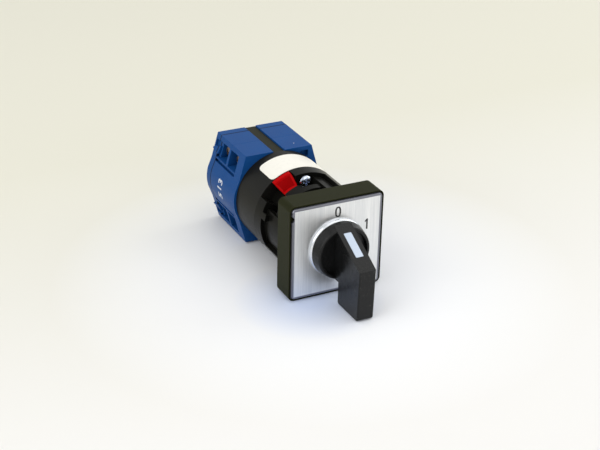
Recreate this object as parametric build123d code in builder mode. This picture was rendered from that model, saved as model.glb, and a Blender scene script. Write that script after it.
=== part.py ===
"""Cam switch: a two-position rotary switch for a 22 mm panel hole.

The shaft runs along Y. The front is at -Y, the top at +Z, and the origin lies on the shaft axis
in the plane where the bezel seats on the panel. Angles round the axis are clock angles: 0 at the
top, growing clockwise as seen from the front. All sizes are in millimetres.
"""
import os
from math import atan2, cos, degrees, radians, sin

from build123d import *

os.makedirs("parts", exist_ok=True)

# ---------------------------------------------------------------- fits
GAP = 0.05  # around pieces that are pushed or screwed into a seat
RUN = 0.07  # radial running clearance of a turning or sliding piece
FREE = 0.25  # room around pieces that must never touch

# ---------------------------------------------------------------- main sizes
BEZEL_SIZE = 30.0
RING_RADIUS = 14.4  # mounting ring, latch housing and contact block follow it
RING_WALL = 3.4  # radial depth of the mounting ring outside the collar
LATCH_DEPTH = 13.4
FRONT_STAGE_DEPTH = 9.7
REAR_STAGE_DEPTH = 8.5

# ---------------------------------------------------------------- bezel and face plate
BEZEL_CORNER = 1.8
BEZEL_DEPTH = 7.65  # panel seat to the front edge of the rim
RIM_WALL = 0.36
PLATE_THICKNESS = 1.1
PLATE_PROUD = 0.4  # face of the plate ahead of the rim
PLATE_BEVEL = 1.05
NOTCH_RADIUS = 0.95
NOTCH_HEIGHT = 11.2

TRIM_RADIUS = 8.95
TRIM_HEIGHT = 1.15
TRIM_BORE = 7.4
TRIM_SPIGOT = 8.2
TRIM_SPIGOT_DEPTH = 2.1

COLLAR_RADIUS = RING_RADIUS - RING_WALL
COLLAR_LENGTH = 11.0
COLLAR_WALL = 1.7
BEARING_WALL = 1.5
COLLAR_POCKET_START = 1.2
COLLAR_RIBS = 4
RIB_THICKNESS = 1.0
GROOVE_START = 5.8  # bayonet groove round the collar
GROOVE_WIDTH = 2.9
GROOVE_DEPTH = 0.75

SEAL_EDGE = 1.45  # from the bezel's side to the seal
SEAL_STEP = 0.65  # from the collar to the seal
SEAL_DEPTH = 0.95

# ---------------------------------------------------------------- knob
KNOB_RADIUS = 8.75
KNOB_FRONT_RADIUS = 8.15
KNOB_BASE_HEIGHT = 3.3
KNOB_LIFT = 0.3  # gap between the knob and the trim ring
KNOB_EDGE = 0.55
HOLLOW_RADIUS = 7.1
HOLLOW_DEPTH = 1.5
LEVER_ROOT_WIDTH = 5.4
LEVER_NOSE_WIDTH = 5.2
LEVER_REACH = 17.3  # front of the lever ahead of the trim ring
LEVER_CREST = 0.75  # height where slope and front face meet
LEVER_SLOPE = 0.5
TAIL_DROP = 14.9
TAIL_DEPTH = 12.35
TAIL_DRAFT = 0.55
TAIL_CORNER = 1.0
LEVER_EDGE = 0.45
HUB_LENGTH = 3.1
HUB_WALL = 0.08
INSERT_WIDTH = 2.4
INSERT_LENGTH = 8.7
INSERT_THICKNESS = 0.9
INSERT_PROUD = 0.05
INSERT_START = 1.0  # from the front of the round base, along the shaft

# ---------------------------------------------------------------- drive train
SPIGOT_SIDE = 4.6
SPIGOT_LENGTH = 11.0
SPIGOT_WAIST = 0.4
SLEEVE_RADIUS = 5.5
SLEEVE_HEAD_RADIUS = 6.8
SLEEVE_HEAD = 1.35
SLEEVE_END = 1.5  # how far the sleeve stands out of the collar
SHAFT_SOCKET = 8.8
SHAFT_JOURNAL_LENGTH = 2.0
CLIP_THICKNESS = 0.6
CLIP_GROOVE = 0.6
CLIP_RADIUS = 7.0
CLIP_OPENING = 70.0

# ---------------------------------------------------------------- mounting ring and lock lever
PANEL_GAP = 2.6
SEAM = 17.0  # front of the latch housing
RING_BORE_GAP = 0.07
FLANGE_THICKNESS = 4.2
FLANGE_BORE = 7.5
WINDOW_DEPTH = 1.3
WINDOW_START, WINDOW_END = -118.0, 28.0
OPEN_START, OPEN_END = -67.0, 11.0
TOOTH_ANGLE, TOOTH_SPAN, TOOTH_LENGTH = -76.0, 8.0, 2.4
RING_SCREW_EDGE = 2.6  # from the ring's outside to the screws
RING_SCREW_HEAD = 1.9
RING_SCREW_HEAD_HEIGHT = 2.0
RING_SCREW_SINK = 1.0
RING_SCREW_SHANK = 1.45
RING_SCREW_LENGTH = 8.2

LOCK_ANGLE, LOCK_SPAN, LOCK_TRAVEL = -26.0, 23.5, 20.0
LOCK_RING_WALL = 1.42
LOCK_RING_WIDTH = 2.5
LOCK_RING_START_ANGLE, LOCK_RING_END_ANGLE = -150.0, 100.0
LUG_DEPTH = 0.55
LUG_SPAN = 12.0
LUG_ANGLES = (-110.0, 70.0)
CARRIER_LENGTH = 2.1  # behind the lock ring, under the tab's front
TAB_REAR_RISE = 0.05
TAB_LAND = 1.45  # flat rear end of the tab
TAB_SLOPE_LENGTH = 3.2
TAB_FOOT_HEIGHT = 0.35
TAB_TOE_DROP = 0.5  # below the carrier's top
TAB_DISH = 0.3
PEG_LIFT = 0.3
PEG_DEPTH = 0.5
PEG_LENGTH = 2.6
PEG_SPAN = 12.0
RELIEF_ANGLE, RELIEF_SPAN = 7.0, 6.0
RELIEF_DEPTH = 1.4

# ---------------------------------------------------------------- latch
LATCH_WALL = 1.5
LATCH_FRONT = 2.2
BOSS_RADIUS = 2.5
LABEL_THICKNESS = 0.1
LABEL_LENGTH = 10.1
LABEL_START_ANGLE, LABEL_END_ANGLE = -36.5, 43.0

STAR_MARGIN = 6.6  # from the ring's outside to the star wheel
STAR_NOTCHES = 6
NOTCH_DEPTH = 1.0
NOTCH_CUT = 1.6
STAR_START = 3.6  # behind the seam
STAR_THICKNESS = 4.6
JOURNAL_STEP = 1.8
SPRING_THICKNESS = 0.4
SPRING_WIDTH = 3.6
SPRING_MARGIN = 4.5
SPRING_NOSE = 0.9
POST_SIZE = 2.4
LATCH_PLATE_THICKNESS = 2.2
STOP_LUG_STEP = 0.9
STOP_LUG_SPAN = 20.0
STOP_BLOCK_SPAN = 16.0
STOP_SLACK = 1.0
STOP_DEPTH = 2.4
TURN_ANGLE = 60.0  # angle between position 0 and position 1

# ---------------------------------------------------------------- contact block
BLOCK_HALF_HEIGHT = RING_RADIUS + 0.1
BLOCK_HALF_WIDTH = BLOCK_HALF_HEIGHT + 0.6
FLAT_HALF = BLOCK_HALF_HEIGHT - 3.4  # half width of the flat top and bottom
SHOULDER = (BLOCK_HALF_HEIGHT - 1.2, BLOCK_HALF_HEIGHT - 7.8)
BAND = (BLOCK_HALF_WIDTH - 0.45, BLOCK_HALF_HEIGHT - 11.2)
FRONT_STAGE_WALL = 4.1
REAR_STAGE_WALL = 1.2
COVER_DEPTH = 3.6
COVER_CHAMFER = 0.6
STRAP_WIDTH = 3.75
STRAP_THICKNESS = 0.7
STRAP_SINK = 0.5
STRAP_NIB = 0.7
STRAP_NIB_PLACE = 0.8  # behind the block's front, and ahead of the tie screws' heads
TIE_RADIUS = 1.2
TIE_HEIGHT = BLOCK_HALF_HEIGHT - 3.3
TIE_HEAD_RADIUS = 1.9
TIE_HEAD_HEIGHT = 1.5
TIE_ENGAGE = 5.0

CAM_HIGH = BLOCK_HALF_HEIGHT - 8.3
CAM_LIFT = 1.2
CAM_THICKNESS = 3.6
DWELL_ANGLE = 30.0
RAMP_STEPS = 8
CAM_ROOM = 0.45
FOLLOWER_GAP = 0.1
NOSE_RADIUS = 0.9
STEM_HEIGHT = 3.0
STEM_DEPTH = 3.6
YOKE_START = CAM_HIGH + 3.0
YOKE_END = YOKE_START + 2.1
YOKE_DEPTH = 4.2
BRIDGE_START = YOKE_START + 0.6
BRIDGE_THICKNESS = 0.8
BRIDGE_DEPTH = 3.0
BRIDGE_HALF = BLOCK_HALF_HEIGHT - 9.1
TIP_RADIUS = 1.1
TIP_THICKNESS = 0.5
TIP_HEIGHT = BRIDGE_HALF - 1.2
CONTACT_MARGIN = 0.05
STRIP_THICKNESS = 0.6
FIXED_TIP = 0.35
STRIP_DEPTH = 3.4
STRIP_START, STRIP_END = TIP_HEIGHT - 1.2, BLOCK_HALF_HEIGHT - 1.9
SPIGOT_PIN = 0.75
PIN_LENGTH = 0.8
COIL_RADIUS = 1.25
COIL_WIRE = 0.22
COIL_TURN_ANGLES = 3
SPRING_SEAT = YOKE_END + 2.45
SCREW_HEIGHT = BLOCK_HALF_HEIGHT - 4.4
SCREW_RADIUS = 1.2
SCREW_HEAD = 1.85
SCREW_HEAD_HEIGHT = 1.4
SCREW_LENGTH = 5.2
CLAMP_SIDE = 4.0
CLAMP_THICKNESS = 0.8
WIRE_SPACE = 0.8
CHAMBER_START, CHAMBER_END = BLOCK_HALF_HEIGHT - 6.8, BLOCK_HALF_HEIGHT - 1.6
GUTTER_WIDTH = 0.9
GUTTER_DEPTH = 1.0
LIP = 0.45
ACCESS_WIDTH = 2.8
ACCESS_HEIGHT = 2.1
ACCESS_DEPTH = 1.6
ACCESS_PLACE = (BLOCK_HALF_HEIGHT - 6.0, BLOCK_HALF_HEIGHT - 2.4)

SHAFT_SIDE = CAM_HIGH - CAM_LIFT
SHAFT_JOURNAL = SHAFT_SIDE * 0.48
CAM_HUB = SHAFT_SIDE * 0.84

# ---------------------------------------------------------------- places along the shaft
plate_front = -(BEZEL_DEPTH + PLATE_PROUD)
plate_back = plate_front + PLATE_THICKNESS
trim_front = plate_front - TRIM_HEIGHT
knob_back = trim_front - KNOB_LIFT
knob_front = knob_back - KNOB_BASE_HEIGHT
lever_front = trim_front - LEVER_REACH
trim_seat = plate_front + TRIM_SPIGOT_DEPTH
hub_back = knob_back + HUB_LENGTH
sleeve_front = trim_seat + GAP
sleeve_head_back = sleeve_front + SLEEVE_HEAD
sleeve_back = COLLAR_LENGTH + SLEEVE_END
shaft_front = sleeve_back - SHAFT_SOCKET
flange_front = SEAM - FLANGE_THICKNESS
screw_seat = flange_front + RING_SCREW_SINK
groove_end = GROOVE_START + GROOVE_WIDTH
latch_back = SEAM + LATCH_DEPTH
latch_floor = SEAM + LATCH_FRONT
star_front = SEAM + STAR_START
star_back = star_front + STAR_THICKNESS
latch_plate_front = latch_back - LATCH_PLATE_THICKNESS
stage_split = latch_back + FRONT_STAGE_DEPTH
block_back = stage_split + REAR_STAGE_DEPTH
cover_back = block_back + COVER_DEPTH

seal_outer = BEZEL_SIZE / 2 - SEAL_EDGE
seal_inner = COLLAR_RADIUS + SEAL_STEP
ring_bore = COLLAR_RADIUS + RING_BORE_GAP
bearing_bore = SLEEVE_RADIUS + RUN
lock_groove_radius = ring_bore + LOCK_RING_WALL + RUN
latch_bore = RING_RADIUS - LATCH_WALL
screw_circle = RING_RADIUS - RING_SCREW_EDGE
star_radius = RING_RADIUS - STAR_MARGIN
journal_radius = star_radius - JOURNAL_STEP
stop_radius = star_radius + STOP_LUG_STEP
spring_offset = RING_RADIUS - SPRING_MARGIN
spring_half_span = RING_RADIUS / 2
side_slope = atan2(SHOULDER[0] - FLAT_HALF, BLOCK_HALF_HEIGHT - SHOULDER[1])


# ---------------------------------------------------------------- helpers
def section(y):
    """Cross-section plane at y: its normal points forward, sketch x is +X and sketch y is +Z."""
    return Plane(origin=(0, y, 0), x_dir=(1, 0, 0), z_dir=(0, -1, 0))


def clock(radius, angle):
    """Sketch point at a clock angle."""
    return radius * sin(radians(angle)), radius * cos(radians(angle))


def ring_sector(inner, outer, start, end):
    """Ring sector between two clock angles, as a sketch."""
    with BuildSketch() as sector:
        with BuildLine():
            outside = CenterArc((0, 0), outer, 90 - end, end - start)
            inside = CenterArc((0, 0), inner, 90 - end, end - start)
            Line(outside @ 0, inside @ 0)
            Line(outside @ 1, inside @ 1)
        make_face()
    return sector.sketch


def open_ring(inner, outer, opening):
    """Flat spring clip: a ring with a gap at the bottom."""
    return ring_sector(inner, outer, -180 + opening / 2, 180 - opening / 2)


def save(piece, name):
    """Label a finished piece and write it."""
    piece.part.label = name
    export_step(piece.part, f"parts/{name}.step")


# ---------------------------------------------------------------- bezel
with BuildPart() as bezel:
    with BuildSketch(section(0)):
        RectangleRounded(BEZEL_SIZE, BEZEL_SIZE, BEZEL_CORNER)
    extrude(amount=BEZEL_DEPTH)
    with BuildSketch(section(plate_back)):
        RectangleRounded(BEZEL_SIZE - 2 * RIM_WALL, BEZEL_SIZE - 2 * RIM_WALL, BEZEL_CORNER - RIM_WALL)
    extrude(amount=PLATE_THICKNESS, mode=Mode.SUBTRACT)
    with BuildSketch(section(COLLAR_LENGTH)):
        Circle(COLLAR_RADIUS)
    extrude(amount=COLLAR_LENGTH)
    collar_end = bezel.faces().sort_by(Axis.Y)[-1]
    chamfer(collar_end.edges(), length=0.4)
    # annular pocket between the outer collar and the bearing tube, crossed by ribs
    with BuildSketch(section(COLLAR_LENGTH)):
        Circle(COLLAR_RADIUS - COLLAR_WALL)
        Circle(bearing_bore + BEARING_WALL, mode=Mode.SUBTRACT)
        with PolarLocations(0, COLLAR_RIBS, start_angle=45):
            Rectangle(2 * COLLAR_RADIUS, RIB_THICKNESS, mode=Mode.SUBTRACT)
    extrude(amount=COLLAR_LENGTH - COLLAR_POCKET_START, mode=Mode.SUBTRACT)
    # seats of the trim ring and of the sleeve's head, and the sleeve's bearing
    with BuildSketch(section(trim_seat)):
        Circle(TRIM_SPIGOT + GAP)
    extrude(amount=trim_seat - plate_front, mode=Mode.SUBTRACT)
    with BuildSketch(section(sleeve_head_back + GAP)):
        Circle(SLEEVE_HEAD_RADIUS + FREE)
    extrude(amount=sleeve_head_back + GAP - plate_front, mode=Mode.SUBTRACT)
    with BuildSketch(section(COLLAR_LENGTH)):
        Circle(bearing_bore)
    extrude(amount=COLLAR_LENGTH - plate_front, mode=Mode.SUBTRACT)
    # seal groove in the panel seat
    with BuildSketch(section(0)):
        Circle(seal_outer + GAP)
        Circle(seal_inner - GAP, mode=Mode.SUBTRACT)
    extrude(amount=SEAL_DEPTH + GAP, mode=Mode.SUBTRACT)
    # bayonet groove with two entry slots
    with BuildSketch(section(groove_end)):
        Circle(COLLAR_RADIUS + FREE)
        Circle(COLLAR_RADIUS - GROOVE_DEPTH, mode=Mode.SUBTRACT)
    extrude(amount=GROOVE_WIDTH, mode=Mode.SUBTRACT)
    with BuildSketch(section(COLLAR_LENGTH)):
        for angle in LUG_ANGLES:
            add(
                ring_sector(
                    COLLAR_RADIUS - GROOVE_DEPTH,
                    COLLAR_RADIUS + FREE,
                    angle - LOCK_TRAVEL - LUG_SPAN / 2 - 1,
                    angle - LOCK_TRAVEL + LUG_SPAN / 2 + 1,
                )
            )
    extrude(amount=COLLAR_LENGTH - GROOVE_START, mode=Mode.SUBTRACT)
save(bezel, "bezel")

with BuildPart() as face_plate:
    side = BEZEL_SIZE - 2 * RIM_WALL - 2 * GAP
    with BuildSketch(section(plate_back)):
        RectangleRounded(side, side, BEZEL_CORNER - RIM_WALL - GAP)
    extrude(amount=PLATE_THICKNESS)
    front = face_plate.faces().sort_by(Axis.Y)[0]
    chamfer(front.edges(), length=PLATE_PROUD, length2=PLATE_BEVEL, reference=front)
    with BuildSketch(section(plate_back)):
        Circle(TRIM_SPIGOT + GAP)
        with Locations((-side / 2, NOTCH_HEIGHT)):
            Circle(NOTCH_RADIUS)
    extrude(amount=PLATE_THICKNESS, mode=Mode.SUBTRACT)
save(face_plate, "face_plate")

with BuildPart() as trim_ring:
    with BuildSketch(Plane.XY):
        with BuildLine():
            bore = Line((TRIM_BORE, trim_seat), (TRIM_BORE, trim_front))
            crown = Line(bore @ 1, (TRIM_RADIUS - 0.75, trim_front))
            shoulder = RadiusArc(crown @ 1, (TRIM_RADIUS, trim_front + 0.75), -0.75)
            rim = Line(shoulder @ 1, (TRIM_RADIUS, plate_front))
            under = Line(rim @ 1, (TRIM_SPIGOT, plate_front))
            spigot = Line(under @ 1, (TRIM_SPIGOT, trim_seat))
            Line(spigot @ 1, bore @ 0)
        make_face()
    revolve(axis=Axis.Y)
save(trim_ring, "trim_ring")

with BuildPart() as panel_seal:
    with BuildSketch(section(0)):
        Circle(seal_outer)
        Circle(seal_inner, mode=Mode.SUBTRACT)
    extrude(amount=SEAL_DEPTH)
save(panel_seal, "panel_seal")

# ---------------------------------------------------------------- knob
slope_angle = degrees(atan2(LEVER_SLOPE, 1))
tail_back = lever_front + TAIL_DEPTH
root = knob_front + HOLLOW_DEPTH + 0.5
clip_back = hub_back - CLIP_THICKNESS
clip_width = SPIGOT_SIDE + 1.6
clip_foot = SPIGOT_SIDE / 2 + 0.9
clip_head = TRIM_BORE - 1.0


def slope_height(y):
    """Height of the lever's sloping top at y."""
    return LEVER_CREST + LEVER_SLOPE * (y - lever_front)


insert_front = knob_front - INSERT_START - INSERT_LENGTH * cos(radians(slope_angle))
insert_middle = (knob_front - INSERT_START + insert_front) / 2
slope_plane = Plane(
    origin=(0, insert_middle, slope_height(insert_middle)), x_dir=(1, 0, 0), z_dir=(0, -LEVER_SLOPE, 1)
)

with BuildPart() as lever:
    with BuildSketch(Plane.YZ):
        with BuildLine():
            Polyline(
                (root, slope_height(root)),
                (lever_front, LEVER_CREST),
                (lever_front + TAIL_DRAFT, -TAIL_DROP),
                (tail_back, -TAIL_DROP),
                (tail_back, -KNOB_FRONT_RADIUS + 0.4),
                (root, -KNOB_FRONT_RADIUS + 0.4),
                close=True,
            )
        make_face()
    extrude(amount=LEVER_ROOT_WIDTH / 2, both=True)
    # the sides draw in towards the front
    with BuildSketch(Plane.XY.offset(-TAIL_DROP)):
        with BuildLine():
            Polyline(
                (-LEVER_ROOT_WIDTH / 2, knob_front),
                (-LEVER_NOSE_WIDTH / 2, lever_front),
                (LEVER_NOSE_WIDTH / 2, lever_front),
                (LEVER_ROOT_WIDTH / 2, knob_front),
                (LEVER_ROOT_WIDTH / 2, root),
                (-LEVER_ROOT_WIDTH / 2, root),
                close=True,
            )
        make_face()
    extrude(amount=TAIL_DROP + KNOB_RADIUS + 1, mode=Mode.INTERSECT)
    tail_corners = lever.edges().filter_by(Axis.X).group_by(Axis.Z)[0]
    fillet(tail_corners, radius=TAIL_CORNER)
    front_face = lever.faces().filter_by(Plane.XZ, tolerance=5).sort_by(Axis.Y)[0]
    fillet(front_face.edges(), radius=LEVER_EDGE)

with BuildPart() as knob:
    with BuildSketch(Plane.XY):
        with BuildLine():
            Polyline(
                (0, knob_back),
                (KNOB_RADIUS, knob_back),
                (KNOB_FRONT_RADIUS, knob_front),
                (0, knob_front),
                close=True,
            )
        make_face()
    revolve(axis=Axis.Y)
    fillet(knob.edges().sort_by(Axis.Y)[0], radius=KNOB_EDGE)
    # finger hollows either side of the lever
    with BuildSketch(section(knob_front + HOLLOW_DEPTH)):
        Circle(HOLLOW_RADIUS)
    extrude(amount=HOLLOW_DEPTH, taper=-8, mode=Mode.SUBTRACT)
    # the slope runs on across the rim of the round base
    with BuildSketch(Plane.YZ):
        with BuildLine():
            Polyline(
                (knob_back, slope_height(knob_back)),
                (knob_front - 1, slope_height(knob_front - 1)),
                (knob_front - 1, KNOB_RADIUS + 1),
                (knob_back, KNOB_RADIUS + 1),
                close=True,
            )
        make_face()
    extrude(amount=LEVER_ROOT_WIDTH / 2, both=True, mode=Mode.SUBTRACT)
    add(lever.part)
    # hub with the square socket for the sleeve's spigot
    with BuildSketch(section(hub_back)):
        Circle(TRIM_BORE - HUB_WALL)
    extrude(amount=HUB_LENGTH + 0.5)
    with BuildSketch(section(hub_back)):
        Rectangle(SPIGOT_SIDE + 2 * GAP, SPIGOT_SIDE + 2 * GAP)
    extrude(amount=hub_back - (sleeve_front - SPIGOT_LENGTH - FREE), mode=Mode.SUBTRACT)
    # slot for the clip that holds the knob on the spigot
    with BuildSketch(section(clip_back + GAP)):
        with Locations((0, (TRIM_BORE - clip_foot) / 2)):
            Rectangle(clip_width + 2 * GAP, TRIM_BORE + clip_foot + 2 * GAP)
    extrude(amount=CLIP_THICKNESS + 2 * GAP, mode=Mode.SUBTRACT)
    # pocket of the pointer insert
    with BuildSketch(slope_plane):
        RectangleRounded(INSERT_WIDTH + 2 * GAP, INSERT_LENGTH + 2 * GAP, 0.3)
    extrude(amount=-(INSERT_THICKNESS - INSERT_PROUD + GAP), mode=Mode.SUBTRACT)
save(knob, "knob")

with BuildPart() as pointer_insert:
    with BuildSketch(slope_plane.offset(INSERT_PROUD)):
        RectangleRounded(INSERT_WIDTH, INSERT_LENGTH, 0.25)
    extrude(amount=-INSERT_THICKNESS)
save(pointer_insert, "pointer_insert")

with BuildPart() as knob_clip:
    with BuildSketch(section(clip_back)):
        with Locations((0, (clip_head - clip_foot) / 2)):
            RectangleRounded(clip_width, clip_head + clip_foot, 0.6)
        slot_top = SPIGOT_SIDE / 2 + GAP
        with Locations((0, (slot_top - clip_foot) / 2)):
            Rectangle(SPIGOT_SIDE - 2 * SPIGOT_WAIST + 2 * GAP, slot_top + clip_foot, mode=Mode.SUBTRACT)
    extrude(amount=CLIP_THICKNESS)
save(knob_clip, "knob_clip")

# ---------------------------------------------------------------- drive train
with BuildPart() as drive_sleeve:
    with BuildSketch(section(sleeve_front)):
        Rectangle(SPIGOT_SIDE, SPIGOT_SIDE)
    extrude(amount=SPIGOT_LENGTH)
    chamfer(drive_sleeve.faces().sort_by(Axis.Y)[0].edges(), length=0.5)
    with BuildSketch(section(clip_back + GAP)):
        for way in (-1, 1):
            with Locations((way * SPIGOT_SIDE / 2, 0)):
                Rectangle(2 * SPIGOT_WAIST, SPIGOT_SIDE, mode=Mode.ADD)
    extrude(amount=CLIP_THICKNESS + 2 * GAP, mode=Mode.SUBTRACT)
    with BuildSketch(section(sleeve_head_back)):
        Circle(SLEEVE_HEAD_RADIUS)
    extrude(amount=SLEEVE_HEAD)
    with BuildSketch(section(sleeve_back)):
        Circle(SLEEVE_RADIUS)
    extrude(amount=sleeve_back - sleeve_head_back)
    with BuildSketch(section(COLLAR_LENGTH + CLIP_THICKNESS + 2 * GAP)):
        Circle(SLEEVE_RADIUS + GAP)
        Circle(SLEEVE_RADIUS - CLIP_GROOVE, mode=Mode.SUBTRACT)
    extrude(amount=CLIP_THICKNESS + GAP, mode=Mode.SUBTRACT)
    with BuildSketch(section(sleeve_back)):
        Rectangle(SHAFT_SIDE + 2 * GAP, SHAFT_SIDE + 2 * GAP)
    extrude(amount=SHAFT_SOCKET, mode=Mode.SUBTRACT)
save(drive_sleeve, "drive_sleeve")

with BuildPart() as sleeve_clip:
    with BuildSketch(section(COLLAR_LENGTH + GAP + CLIP_THICKNESS)):
        add(open_ring(SLEEVE_RADIUS - CLIP_GROOVE + GAP, CLIP_RADIUS, CLIP_OPENING))
    extrude(amount=CLIP_THICKNESS)
save(sleeve_clip, "sleeve_clip")

shaft_body_back = block_back + FREE
with BuildPart() as shaft:
    with BuildSketch(section(shaft_body_back)):
        Rectangle(SHAFT_SIDE, SHAFT_SIDE)
    extrude(amount=shaft_body_back - shaft_front - FREE)
    with BuildSketch(section(shaft_body_back + SHAFT_JOURNAL_LENGTH)):
        Circle(SHAFT_JOURNAL)
    extrude(amount=SHAFT_JOURNAL_LENGTH)
    chamfer(shaft.faces().sort_by(Axis.Y)[0].edges(), length=0.4)
save(shaft, "shaft")

# ---------------------------------------------------------------- mounting ring and lock lever
lock_front = GROOVE_START + (GROOVE_WIDTH - LOCK_RING_WIDTH) / 2
lock_back = lock_front + LOCK_RING_WIDTH
tab_start = LOCK_ANGLE - LOCK_SPAN / 2
tab_end = LOCK_ANGLE + LOCK_SPAN / 2
tab_back = SEAM - FREE
tab_floor = ring_bore + GAP
carrier_back = lock_back + CARRIER_LENGTH
tab_front = carrier_back + GAP
screw_places = [(0, screw_circle), (0, -screw_circle)]

with BuildPart() as mounting_ring:
    with BuildSketch(section(SEAM)):
        Circle(RING_RADIUS)
    extrude(amount=SEAM - PANEL_GAP)
    chamfer(mounting_ring.edges().sort_by(Axis.Y)[0], length=0.5)
    with BuildSketch(section(flange_front)):
        Circle(ring_bore)
    extrude(amount=flange_front - PANEL_GAP, mode=Mode.SUBTRACT)
    with BuildSketch(section(SEAM)):
        Circle(FLANGE_BORE)
    extrude(amount=FLANGE_THICKNESS, mode=Mode.SUBTRACT)
    # groove that carries the lock lever's ring
    with BuildSketch(section(lock_back + RUN)):
        Circle(lock_groove_radius)
    extrude(amount=LOCK_RING_WIDTH + 2 * RUN, mode=Mode.SUBTRACT)
    # shallow window over the lever, open where the tab travels and over the upper screw
    with BuildSketch(section(flange_front)):
        add(ring_sector(RING_RADIUS - WINDOW_DEPTH, RING_RADIUS + 1, WINDOW_START, WINDOW_END))
        add(ring_sector(ring_bore - 1, RING_RADIUS + 1, OPEN_START, OPEN_END))
    extrude(amount=flange_front - PANEL_GAP, mode=Mode.SUBTRACT)
    with BuildSketch(section(flange_front + GAP)):
        add(
            ring_sector(
                RING_RADIUS - WINDOW_DEPTH - GAP,
                RING_RADIUS,
                TOOTH_ANGLE - TOOTH_SPAN / 2,
                TOOTH_ANGLE + TOOTH_SPAN / 2,
            )
        )
    extrude(amount=TOOTH_LENGTH)
    with BuildSketch(section(SEAM)):
        add(ring_sector(tab_floor - FREE, RING_RADIUS + 1, tab_start - LOCK_TRAVEL - 1.5, tab_end + 1.5))
    extrude(amount=FLANGE_THICKNESS, mode=Mode.SUBTRACT)
    with BuildSketch(section(flange_front + RELIEF_DEPTH)):
        relief_start = RELIEF_ANGLE - RELIEF_SPAN / 2
        add(ring_sector(screw_circle, RING_RADIUS - WINDOW_DEPTH, relief_start, relief_start + RELIEF_SPAN))
    extrude(amount=RELIEF_DEPTH, mode=Mode.SUBTRACT)
    # screw holes through the flange, with their heads sunk from the front
    with BuildSketch(section(SEAM)):
        with Locations(*screw_places):
            Circle(RING_SCREW_SHANK + GAP)
    extrude(amount=FLANGE_THICKNESS, mode=Mode.SUBTRACT)
    with BuildSketch(section(screw_seat)):
        with Locations(*screw_places):
            Circle(RING_SCREW_HEAD + FREE / 2)
    extrude(amount=screw_seat - PANEL_GAP, mode=Mode.SUBTRACT)
save(mounting_ring, "mounting_ring")

lock_outer = ring_bore + LOCK_RING_WALL
tab_plane = Plane(
    origin=(0, 0, 0),
    x_dir=(sin(radians(tab_start)), 0, cos(radians(tab_start))),
    z_dir=(-cos(radians(tab_start)), 0, sin(radians(tab_start))),
)
peg_root = tab_floor + PEG_LIFT
peg_top = peg_root + PEG_DEPTH

with BuildPart() as lock_ring:
    with BuildSketch(section(lock_back)):
        add(ring_sector(ring_bore, lock_outer, LOCK_RING_START_ANGLE, LOCK_RING_END_ANGLE))
        for angle in LUG_ANGLES:
            start = angle - LUG_SPAN / 2
            add(ring_sector(COLLAR_RADIUS - LUG_DEPTH, lock_outer, start, start + LUG_SPAN))
    extrude(amount=LOCK_RING_WIDTH)
    # carrier behind the ring, with a pocket for the tab's peg
    with BuildSketch(section(carrier_back)):
        add(ring_sector(ring_bore, lock_outer, tab_start, tab_end))
    extrude(amount=CARRIER_LENGTH)
    with BuildSketch(section(carrier_back)):
        half = PEG_SPAN / 2 + degrees(GAP / peg_root)
        add(ring_sector(peg_root - GAP, peg_top + GAP, LOCK_ANGLE - half, LOCK_ANGLE + half))
    extrude(amount=PEG_LENGTH, mode=Mode.SUBTRACT)
save(lock_ring, "lock_ring")

with BuildPart() as lock_lever:
    # thumb tab: a dished slope that rises to the rear, behind the carrier
    with BuildSketch(tab_plane):
        with BuildLine():
            land_front = tab_back - TAB_LAND
            foot = (ring_bore + TAB_FOOT_HEIGHT, land_front - TAB_SLOPE_LENGTH)
            toe = Line((tab_floor, tab_front), (lock_outer - TAB_TOE_DROP, tab_front))
            Line(toe @ 1, foot)
            thumb = SagittaArc(foot, (RING_RADIUS, land_front), -TAB_DISH)
            land = Line(thumb @ 1, (RING_RADIUS + TAB_REAR_RISE, tab_back))
            Polyline(land @ 1, (tab_floor, tab_back), toe @ 0)
        make_face()
    revolve(axis=Axis.Y, revolution_arc=LOCK_SPAN)
    with BuildSketch(section(tab_front)):
        add(ring_sector(peg_root, peg_top, LOCK_ANGLE - PEG_SPAN / 2, LOCK_ANGLE + PEG_SPAN / 2))
    extrude(amount=PEG_LENGTH)
save(lock_lever, "lock_lever")

with BuildPart() as ring_screws:
    with BuildSketch(section(screw_seat)):
        with Locations(*screw_places):
            Circle(RING_SCREW_HEAD)
    extrude(amount=RING_SCREW_HEAD_HEIGHT)
    chamfer(ring_screws.edges().group_by(Axis.Y)[0], length=0.35)
    with BuildSketch(section(screw_seat + RING_SCREW_LENGTH)):
        with Locations(*screw_places):
            Circle(RING_SCREW_SHANK)
    extrude(amount=RING_SCREW_LENGTH)
save(ring_screws, "ring_screws")

# ---------------------------------------------------------------- latch
notch_centre = star_radius - NOTCH_DEPTH + NOTCH_CUT
nose_face = star_radius - NOTCH_DEPTH + 2 * GAP
spring_front = star_front + (STAR_THICKNESS - SPRING_WIDTH) / 2
spring_back = spring_front + SPRING_WIDTH
tie_places = [(0, TIE_HEIGHT), (0, -TIE_HEIGHT)]
post_places = [(x * spring_offset, z * spring_half_span) for x in (-1, 1) for z in (-1, 1)]
tie_front = latch_back - TIE_ENGAGE

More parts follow.
